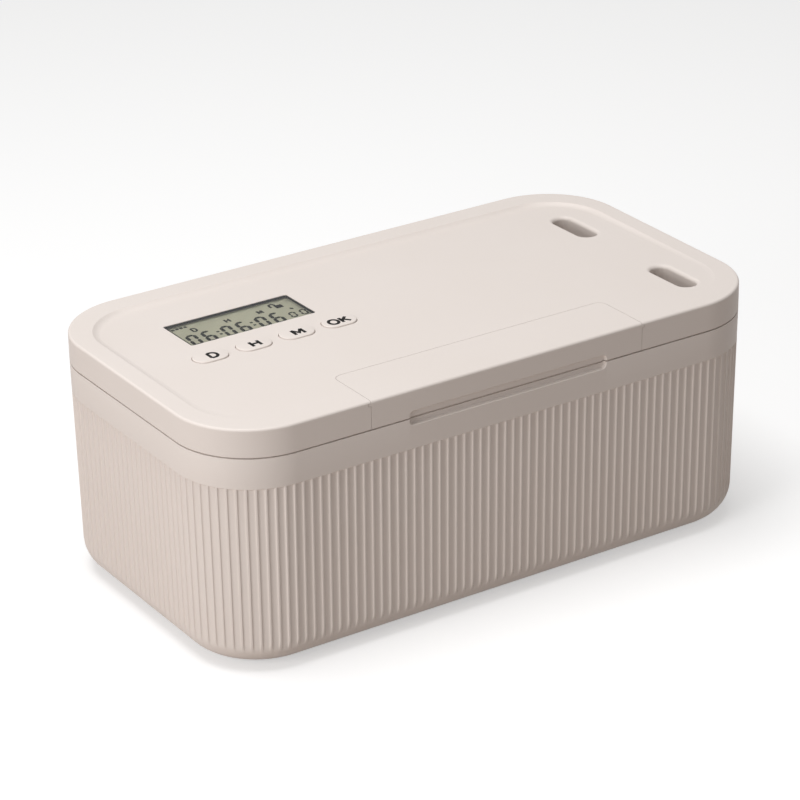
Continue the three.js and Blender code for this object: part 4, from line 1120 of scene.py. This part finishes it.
def make_cap(key, x):
    """A pill-shaped cap with rounded edges, on a flange and the plunger of its switch."""
    low, high = KEY_FLANGE
    loops = stack(lambda grow: pill_loop(x, grow), ((1, low), (1, high), (0, high)))
    for inward, down in quarter(KEY_EDGE, 5):
        loops.append([(px, py, surface(py) + KEY_PROUD - down) for px, py in pill_loop(x, -inward)])
    plunger = rod((x, KEY_Y, PLUNGER_Z[0]), (x, KEY_Y, PLUNGER_Z[1]), PLUNGER)
    cap = combine(skin(f"{key}_cap", loops, "abs"), [plunger], "UNION")
    shade(cap)
    dress(cap, key, "abs_shell", key)


def make_mark(key, x, words, shift):
    """A thin generic mark that lies on the sloping top of a cap."""
    loops = word_loops(words, x + shift, KEY_Y - 0.15, MARK_TALL, MARK_WEIGHT)
    mark = plates(f"{key}_mark", loops, 0, MARK_THICK, "print")
    tilt = Matrix.Rotation(-atan(FIELD_DEPTH / (FIELD_REAR - FIELD_FRONT)), 4, "X")
    lift = Matrix.Translation((0, 0, (surface(0) + KEY_PROUD - MARK_SINK) / METRE))
    mark.data.transform(lift @ tilt)
    dress(mark, key, "black_plastic")


def make_keys():
    for key, x, words, shift in zip(KEYS, KEY_XS, KEY_MARKS, MARK_SHIFTS):
        make_cap(key, x)
        make_mark(key, x, words, shift)


def bow(x, y, across, tall, start, turn, steps=16):
    """Points of an elliptic arc, from a start angle through a turn, in degrees."""
    angles = [radians(start + turn * step / steps) for step in range(steps + 1)]
    return [(x + across * cos(angle), y + tall * sin(angle)) for angle in angles]


def letter(mark):
    """Strokes of a plain capital in a box one high, and the box's width."""
    stem = [(0, 0), (0, 1)]
    return {
        "D": ([stem, [(0, 1), *bow(0.3, 0.5, 0.46, 0.5, 90, -180), (0, 0)]], 0.76),
        "H": ([stem, [(0.76, 0), (0.76, 1)], [(0, 0.52), (0.76, 0.52)]], 0.76),
        "M": ([stem, [(0, 1), (0.45, 0.3), (0.9, 1)], [(0.9, 1), (0.9, 0)]], 0.9),
        "O": ([bow(0.44, 0.5, 0.44, 0.5, 90, 360, 28)], 0.88),
        "K": ([stem, [(0.66, 1), (0, 0.36)], [(0.24, 0.58), (0.7, 0)]], 0.7),
        "S": ([[(0.6, 1), (0, 1), (0, 0.5), (0.6, 0.5), (0.6, 0), (0, 0)]], 0.6),
    }[mark]


def stroke_loop(points, width):
    """Outline of a line of even width through points, with mitred bends and square ends."""
    left, right = [], []
    last = len(points) - 1
    for at, (x, y) in enumerate(points):
        before = Vector(points[at]) - Vector(points[max(at - 1, 0)])
        after = Vector(points[min(at + 1, last)]) - Vector(points[at])
        before = (before if at else after).normalized()
        after = (after if at < last else before).normalized()
        side = Vector((-(before.y + after.y), before.x + after.x)).normalized()
        reach = width / 2 / max(side.dot(Vector((-after.y, after.x))), 0.4)
        left.append((x + side.x * reach, y + side.y * reach))
        right.append((x - side.x * reach, y - side.y * reach))
    return [*reversed(left), *right]


def word_loops(words, x, y, tall, weight, narrow=1.0):
    """Outlines of a word's strokes, the word centred on a point."""
    loops = []
    advance = 0.0
    size = tall - weight
    for mark in words:
        strokes, width = letter(mark)
        for stroke in strokes:
            line = [((px + advance) * size * narrow, py * size) for px, py in stroke]
            loops.append(stroke_loop(line, weight))
        advance += width + LETTER_GAP
    left = x - (advance - LETTER_GAP) * size * narrow / 2
    return [[(px + left, py + y - size / 2) for px, py in loop] for loop in loops]


# Display

def make_window():
    """The clear window: a flange under the lid, a pad with blackened sides in the opening, and a
    bonding layer down to the display's glass, which leaves no air gap to mirror the room."""
    top = LID_UNDER - 0.3
    loops = stack(window_loop, ((WINDOW_BOND, GLASS_TOP - 0.02), (WINDOW_BOND, top - 1.0),
                                (WINDOW_LAP, top - 1.0), (WINDOW_LAP, top), (-0.1, top)))
    for inset, sink in ((-0.1, 0.12), (-0.13, 0.03), (-0.2, 0)):
        loops.append([(x, y, surface(y) - (WINDOW_SINK + sink)) for x, y in window_loop(inset)])
    window = skin("window_pad", loops, "acrylic")
    shade(window, 12, even=True)
    paint(window, "mask", lambda at, way: at.z > top + 0.1 and abs(way.z) < 0.3)
    dress(window, "lid", "clear_window", "display_window")


def plates(name, loops, low, high, finish):
    """Thin flat pieces of one print, each from its own outline."""
    return merge(name, [slab(loop, low, high, finish) for loop in loops])


def bar(x, y, run, upright, stroke):
    """A mitred display bar from its low end."""
    half = stroke / 2
    tip = 0.07
    spots = ((tip, 0), (tip + half, -half), (run - tip - half, -half), (run - tip, 0),
             (run - tip - half, half), (tip + half, half))
    return [(x - b, y + a) if upright else (x + a, y + b) for a, b in spots]


def digit(mark, x, y, width, height, stroke):
    """The bars of a seven-bar digit whose outside corner is at x, y."""
    left, right = x + stroke / 2, x + width - stroke / 2
    low, high = y + stroke / 2, y + height - stroke / 2
    middle = (low + high) / 2
    across, tall = right - left, middle - low
    places = {
        "a": (left, high, across, False), "b": (right, middle, tall, True),
        "c": (right, low, tall, True), "d": (left, low, across, False),
        "e": (left, low, tall, True), "f": (left, middle, tall, True),
        "g": (left, middle, across, False),
    }
    loops = [bar(*places[name], stroke) for name in BARS[mark]]
    return [[(px + DIGIT_LEAN * (py - y), py) for px, py in loop] for loop in loops]


def padlock(x, y):
    """A padlock sign: a body and an open shackle."""
    body = rounded_loop(x - 1.0, x + 1.8, y - 2.1, y + 0.5, 0.3, corners=3)
    line = [(x - 2.4, y - 0.6), *bow(x - 1.4, y + 0.9, 1.0, 1.2, 180, -180), (x - 0.4, y + 0.4)]
    return [body, stroke_loop(line, 0.85)]


def display_loops():
    """Every dark mark of the display, as outlines."""
    loops = []
    for number, x in enumerate(DIGIT_XS):
        loops += digit("06"[number % 2], x, DIGIT_BASE, DIGIT_WIDTH, DIGIT_HEIGHT, DIGIT_STROKE)
    for x in SMALL_XS:
        loops += digit("0", x, SMALL_BASE, SMALL_WIDTH, SMALL_HEIGHT, SMALL_STROKE)
    loops += [centred_loop(x, y, 0.5, 0.5, 0.1, corners=2) for x, y in COLON_SPOTS]
    loops += [centred_loop(x, LEVEL_Y, 0.55, 0.6, 0.1, corners=2) for x in LEVEL_XS]
    loops += padlock(*PADLOCK)
    for words, x, y, tall in LABELS:
        loops += word_loops(words, x, y, tall, LABEL_WEIGHT, LABEL_NARROW)
    return loops


def make_lcd():
    """Two plates of glass, the print round them and the marks that are on."""
    low, high = (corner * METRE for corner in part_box("lcd_glass"))
    lower = block(low.x, high.x, low.y, high.y - GLASS_STEP, low.z, low.z + GLASS_THICK, "glass_edge")
    upper = block(low.x, high.x, low.y, high.y, high.z - GLASS_THICK, high.z, "glass_edge")
    for plate in (lower, upper):
        soften(plate, 0.08, 1)
        paint(plate, "polariser", lambda at, way: abs(way.z) > 0.9)
    dress(merge("lcd_plates", [lower, upper]), "lid", "lcd", "lcd_glass")
    border = block(low.x + 0.1, high.x - 0.1, low.y + 0.1, high.y - 0.1, GLASS_TOP + 0.005,
                   GLASS_TOP + 0.03, "mask", "lcd_border")
    combine(border, [block(*FILM_X, *FILM_Y, GLASS_TOP - 1, GLASS_TOP + 1)], "DIFFERENCE")
    dress(border, "lid", "lcd")
    marks = plates("lcd_marks", display_loops(), GLASS_TOP + 0.01, GLASS_TOP + 0.05, "crystal")
    dress(marks, "lid", "lcd")


def make_display_carrier():
    rounded_solid("lcd_frame", "lcd_tray", "lid", "abs_inner", "inner_abs")
    rounded_solid("lcd_contact_strip", "layered_contact_strip", "lid", "rubber", "layered")


# Fasteners and feet

def screw(length):
    """A domed head with a cross recess, its top at 0, and a threaded shank along +Z."""
    profile = [(0.6, 0), (1.25, 0.08), (1.75, 0.35), (HEAD_RADIUS, 0.85), (HEAD_RADIUS, HEAD_TALL),
               (SHANK, HEAD_TALL)]
    z = HEAD_TALL + 0.3
    while z < length - 1.1:
        profile += [(SHANK, z), (SHANK - THREAD_DEPTH, z + 0.3), (SHANK, z + 0.6)]
        z += THREAD
    profile += [(SHANK - 0.1, length - 0.4), (SHANK - 0.5, length)]
    made = turned("tool", profile, "steel", sides=24, sharp=40)
    arms = [block(-CROSS_HALF, CROSS_HALF, -CROSS_THICK, CROSS_THICK, -0.5, 0.75),
            block(-CROSS_THICK, CROSS_THICK, -CROSS_HALF, CROSS_HALF, -0.5, 0.7)]
    shade(combine(made, arms, "DIFFERENCE"))
    return made


def make_screws():
    """Four groups of screws, each with its heads and shanks where the CAD has them."""
    groups = (
        ("strike", "tub", 5.6, (0, -1, 0), [(x, -51.2, 60.1) for x in STRIKE_SCREWS]),
        ("cover", "lid", 9.4, (0, 0, 1), [(x, y, 69.7) for x, y in COVER_SCREWS]),
        ("board", "lid", 8.0, (0, 0, 1), [(x, y, 76.3) for x, y in BOARD_SCREWS]),
        ("strap", "lid", 7.4, (0, 0, -1), [(x, y, 81.58) for x, y in STRAP_SCREWS]),
    )
    for group, body, length, way, spots in groups:
        made = copies(f"{group}_screws", screw(length), [(spot, way) for spot in spots])
        dress(made, body, "steel", *[f"{group}_screw_{number + 1}" for number in range(len(spots))])


def make_feet():
    """Round rubber feet with a ring-shaped sole."""
    profile = [(7.0, 0), (7.0, 1.6), (6.85, 1.95), (6.5, 2.2), (4.6, 2.2), (4.2, 2.0), (4.0, 1.7), (0.6, 1.7)]
    spots = [((x, y, 2.2), (0, 0, -1)) for x, y in FOOT_PLACES]
    feet = copies("rubber_feet", turned("tool", profile, "rubber", sides=48), spots)
    dress(feet, "tub", "rubber", "foot_1", "foot_2", "foot_3", "foot_4")


def make_tub_metal():
    """Hinge pin and strike plates."""
    profile = [(PIN - 0.3, 0), (PIN, 0.3), (PIN, 2 * PIN_HALF - 0.3), (PIN - 0.3, 2 * PIN_HALF)]
    pin = turned("steel_hinge_pin", profile, "steel", (-PIN_HALF, HINGE_Y, HINGE_Z), (1, 0, 0), 24)
    dress(pin, "tub", "steel", "hinge_pin")
    for side in ("left", "right"):
        rounded_solid(f"strike_plate_{side}", f"strike_{side}", "tub", "steel", "steel", 0.2)


# Board

def make_board():
    """The board with bare cut edges and tinned rings round its screw holes."""
    plate = slab(rounded_loop(*BOARD_X, *BOARD_Y, 1.0, corners=4), *BOARD_Z, "board", "circuit_board")
    combine(plate, [rod((x, y, 77), (x, y, 81), BOARD_HOLE) for x, y in BOARD_SCREWS], "DIFFERENCE")
    shade(plate)
    paint(plate, "laminate", lambda at, way: abs(way.z) < 0.5)
    dress(plate, "lid", "circuit_board", "main_board")
    ring = turned("tool", [(2.4, 0), (2.4, 0.05)], "tin")
    combine(ring, [rod((0, 0, -1), (0, 0, 1), BOARD_HOLE)], "DIFFERENCE")
    spots = [((x, y, z), (0, 0, way)) for x, y in BOARD_SCREWS for z, way in zip(BOARD_Z, (-1, 1))]
    dress(copies("tinned_rings", ring, spots), "lid", "circuit_board")


def make_chip():
    """The controller: a bevelled moulding with bent tin legs on all four sides."""
    (x, y), (low, high) = CHIP, CHIP_Z
    loops = stack(lambda grow: centred_loop(x, y, CHIP_HALF + grow, CHIP_HALF + grow, 0.3, corners=2),
                  ((-0.3, low), (0.0, low + 0.75), (0.0, low + 0.85), (-0.2, high)))
    moulding = skin("chip_moulding", loops, "black")
    combine(moulding, [rod((x - 3.2, y - 3.2, low - 1), (x - 3.2, y - 3.2, low + 0.1), 0.5)], "DIFFERENCE")
    shade(moulding)
    dress(moulding, "lid", "black_plastic", "controller_chip")
    leg = skin("tool", [
        [(reach, -LEG_HALF, drop), (reach, LEG_HALF, drop), (reach, LEG_HALF, drop + LEG_HALF),
         (reach, -LEG_HALF, drop + LEG_HALF)]
        for reach, drop in ((0.0, -0.1), (0.35, -0.1), (0.6, 1.0), (1.2, 1.0))
    ], "tin")
    spots = []
    for off in [(number - (LEGS - 1) / 2) * LEG_PITCH for number in range(LEGS)]:
        for a, b in ((1, 0), (0, 1), (-1, 0), (0, -1)):
            spots.append(((x + a * CHIP_HALF - b * off, y + b * CHIP_HALF + a * off, low + 0.8), (a, b, 0)))
    dress(copies("chip_legs", leg, spots, "X"), "lid", "circuit_board")


def make_board_parts():
    """Small ceramic parts in two rows beside the chip, with tinned ends."""
    x, y = CHIP
    spots = [((x + side * 10.0, y - 9 + 3.0 * row, BOARD_Z[0]), (0, 0, -1))
             for side in (-1, 1) for row in range(7)]
    body = soften(block(-0.65, 0.65, -0.6, 0.6, 0, 0.6, "ceramic"), 0.05, 1)
    dress(copies("ceramic_parts", body, spots), "lid", "circuit_board")
    ends = merge("tool", [soften(block(low, low + 0.4, -0.63, 0.63, 0, 0.64, "tin"), 0.08, 1)
                          for low in (-1.0, 0.6)])
    dress(copies("tinned_ends", ends, spots), "lid", "circuit_board")


def make_buzzer():
    """A round sounder with its hole towards the cover."""
    profile = [(5.7, 0), (6.0, 0.3), (6.0, 6.0), (5.6, 6.4), (1.35, 6.4), (1.2, 6.2), (1.2, 4.8)]
    buzzer = turned("sounder", profile, "black", BUZZER, (0, 0, -1), 48)
    dress(buzzer, "lid", "black_plastic", "buzzer")


def make_switches():
    """Key switches: a black base, a steel cover with the stem's hole and four rivets."""
    spots = [((x, KEY_Y, BOARD_Z[1] + 0.3), (0, 0, 1)) for x in KEY_XS]
    base = soften(block(-3, 3, -3, 3, 0, 2.6, "black"), 0.2)
    shade(combine(base, [rod((0, 0, 0.8), (0, 0, 4), STEM_HOLE)], "DIFFERENCE"))
    bases = copies("switch_bases", base, spots)
    dress(bases, "lid", "black_plastic", *[f"{key}_switch" for key in KEYS])
    cover = soften(block(-2.9, 2.9, -2.9, 2.9, 2.6, 2.95, "steel"), 0.1, 1)
    rivets = [turned("tool", [(0.45, 2.9), (0.45, 3.02), (0.3, 3.1)], "steel", (x, y, 0), sides=12)
              for x in (-2.3, 2.3) for y in (-2.3, 2.3)]
    combine(cover, [rod((0, 0, 2), (0, 0, 4), STEM_HOLE)], "DIFFERENCE")
    cover = merge("tool", [cover, *rivets])
    shade(cover)
    dress(copies("switch_covers", cover, spots), "lid", "steel")


# Battery bay

def make_cells():
    """Two sleeved cells with bare ends, a raised positive nub and a foil band."""
    profile = [(5.4, 0), (6.4, 0), (6.7, 0.15), (CELL_RADIUS, 0.45), (CELL_RADIUS, CELL_BAND),
               (CELL_RADIUS, 48.8), (6.7, CELL_LENGTH), (6.3, CELL_LENGTH), (6.2, CELL_TOP),
               (2.8, CELL_TOP), (2.75, 50.1), (2.45, 50.4), (0.4, 50.4)]
    for x, side in zip(CELL_STARTS, ("left", "right")):
        cell = turned(f"sleeved_cell_{side}", profile, "sleeve", (x, CELL_Y, CELL_Z), (1, 0, 0), 64)
        paint(cell, "nickel", lambda at, way: not x + 0.1 < at.x < x + CELL_LENGTH - 0.01)
        paint(cell, "nickel", lambda at, way: at.x > x + CELL_TOP and hypot(
            at.y - CELL_Y, at.z - CELL_Z) < 6.25)
        paint(cell, "foil", lambda at, way: x + CELL_BAND < at.x < x + 48.79)
        dress(cell, "lid", "cell_wrap", f"battery_cell_{side}")


def make_contacts():
    """A flat contact with a pressed button on the right, one with a conical spring on the left."""
    outer = BAY_HALF - 0.3
    for side, name in ((-1, "left"), (1, "right")):
        x0, x1 = sorted((side * (outer - 0.5), side * outer))
        plate = soften(block(x0, x1, CELL_Y - 5, CELL_Y + 5, 73.4, 83.4, "nickel"), 0.12)
        x0, x1 = sorted((side * (outer - 0.4), side * TAB_REACH))
        tab = block(x0, x1, CELL_Y - 1.5, CELL_Y + 1.5, CELL_Z - 0.25, CELL_Z + 0.25, "nickel")
        if side < 0:
            end = tube("spring", spring_line(-outer + 0.5, SPRING_END), SPRING_WIRE, "nickel", 8)
        else:
            end = turned("button", [(1.6, 0), (1.5, 0.12), (1.1, 0.2), (0.3, 0.22)], "nickel",
                         (outer - 0.5, CELL_Y, CELL_Z), (-1, 0, 0), 24)
        contact = merge(f"nickel_contact_{name}", [plate, soften(tab, 0.08), end])
        dress(contact, "lid", "steel", f"battery_contact_{name}")


def spring_line(x0, x1, steps=90):
    """Points of a conical spring from the contact plate to the cell."""
    line = []
    for share in [step / steps for step in range(steps + 1)]:
        angle = 2 * pi * SPRING_TURNS * share
        radius = 4.3 - 1.8 * share
        x = x0 + SPRING_WIRE + (x1 - x0 - SPRING_WIRE) * share
        line.append(Vector((x, CELL_Y + radius * cos(angle), CELL_Z + radius * sin(angle))))
    return line


def make_leads():
    """The two battery leads, and the motor's pair twisted together."""
    for colour, pole, route in (("black", "negative", NEGATIVE_ROUTE), ("red", "positive", POSITIVE_ROUTE)):
        lead = tube(f"{colour}_battery_lead", curve_through(route), LEAD_RADIUS, f"{colour}_vinyl", 16)
        dress(lead, "lid", "lead_sleeve", f"battery_lead_{pole}")
    line = curve_through(MOTOR_ROUTE, 24)
    pair = [tube("strand", line, 0.38, finish, 10, 0.4, 6.0, start)
            for finish, start in (("red_vinyl", 0.0), ("black_vinyl", pi))]
    dress(merge("twisted_motor_pair", pair), "lid", "lead_sleeve", "motor_leads")


# Motor and lock

def gear(teeth, x, width, y, z, module=0.38):
    """A small spur gear on an axis along X."""
    loop = []
    root, tip = module * (teeth / 2 - 1.2), module * (teeth / 2 + 0.9)
    for tooth in range(teeth):
        for share, radius in ((0.0, root), (0.28, root), (0.42, tip), (0.64, tip), (0.78, root)):
            angle = 2 * pi * (tooth + share) / teeth
            loop.append((radius * cos(angle), radius * sin(angle)))
    return settle(slab(loop, 0, width, "brass"), (x, GEAR_Y + y, GEAR_Z + z), (1, 0, 0))


def make_gearbox():
    """Two brass plates on four posts, with the gear train between them."""
    parts = [soften(block(x0, x1, GEAR_Y - 6, GEAR_Y + 6, GEAR_Z - 5, GEAR_Z + 5, "brass"), 0.1)
             for x0, x1 in TRAIN_PLATES]
    parts.append(turned("bearing", [(2.4, 0), (2.4, 1.1)], "brass", (16.55, GEAR_Y, GEAR_Z), (1, 0, 0), 32))
    parts += [gear(*wheel) for wheel in WHEELS]
    posts = [(y, z, 0.75) for y in (-4.9, 4.9) for z in (-3.9, 3.9)]
    for y, z, radius in [*posts, (0, 0, 0.5), (-2.2, 1.4, 0.5), (1.9, 1.2, 0.5)]:
        start, end = [(x, GEAR_Y + y, GEAR_Z + z) for x in TRAIN_ENDS]
        parts.append(rod(start, end, radius, "steel", 16))
    dress(merge("brass_gear_train", parts), "lid", "brass", "motor_gearbox")


def make_motor():
    """A drawn steel can with flats, and an end cap with two solder tags."""
    spot, along_x = (MOTOR_START, GEAR_Y, GEAR_Z), (1, 0, 0)
    loops = stack(lambda grow: centred_loop(0, 0, 5 + grow, 6 + grow, 4.2 + grow, corners=10),
                  ((-0.7, 0), (-0.2, 0.15), (0, 0.6), (0, 13.4), (-0.3, 13.7)))
    can = settle(skin("can", loops, "steel"), spot, along_x)
    cap = settle(slab(centred_loop(0, 0, 4.4, 5.4, 3.7), 13.6, 14.6, "black"), spot, along_x)
    tags = [soften(block(41.2, 41.85, GEAR_Y + y - 0.6, GEAR_Y + y + 0.6, GEAR_Z - 0.2, GEAR_Z + 0.2,
                         "tin"), 0.05, 1) for y in (-3.2, 3.2)]
    dress(merge("steel_motor_can", [can, cap, *tags]), "lid", "steel", "motor_can")
    rounded_solid("motor_strap", "bent_motor_strap", "lid", "steel", "steel", 0.2)


def make_lock():
    """Slider, pinion, shaft and the switch that the slider leaves."""
    rounded_solid("lock_slider", "slider_with_tongues", "lock_slider", "acetal", "acetal", 0.2)
    rounded_solid("drive_pinion", "moulded_pinion", "drive_pinion", "acetal", "acetal", 0.08)
    rounded_solid("drive_shaft", "ground_shaft", "drive_pinion", "steel", "steel", 0.12)
    body = soften(block(*SWITCH_BOX, "black"), 0.25)
    x0, x1, y0, y1 = SWITCH_BOX[:4]
    middle = (x0 + x1) / 2
    button = turned("button", [(0.7, 0), (0.7, 0.5), (0.5, 0.7)], "acetal",
                    (middle, y0 + 0.05, SWITCH_MIDDLE), (0, -1, 0), 20)
    tags = [soften(block(x - 0.5, x + 0.5, y1 - 0.05, y1 + 1.2, SWITCH_MIDDLE - 0.4, SWITCH_MIDDLE, "tin"),
                   0.05, 1) for x in (x0 + 1.6, middle, x1 - 1.6)]
    dress(merge("snap_switch", [body, button, *tags]), "lid", "black_plastic", "position_switch")


def make_inner_cover():
    rounded_solid("inner_cover", "moulded_inner_cover", "lid", "abs_inner", "inner_abs", 0.25)


set_stage()
finishes = make_finishes()
for make in (make_tub, make_lid, make_door, make_keys, make_window, make_lcd, make_display_carrier,
             make_screws, make_feet, make_tub_metal, make_board, make_chip, make_board_parts, make_buzzer,
             make_switches, make_cells, make_contacts, make_leads, make_gearbox, make_motor, make_lock,
             make_inner_cover):
    make()
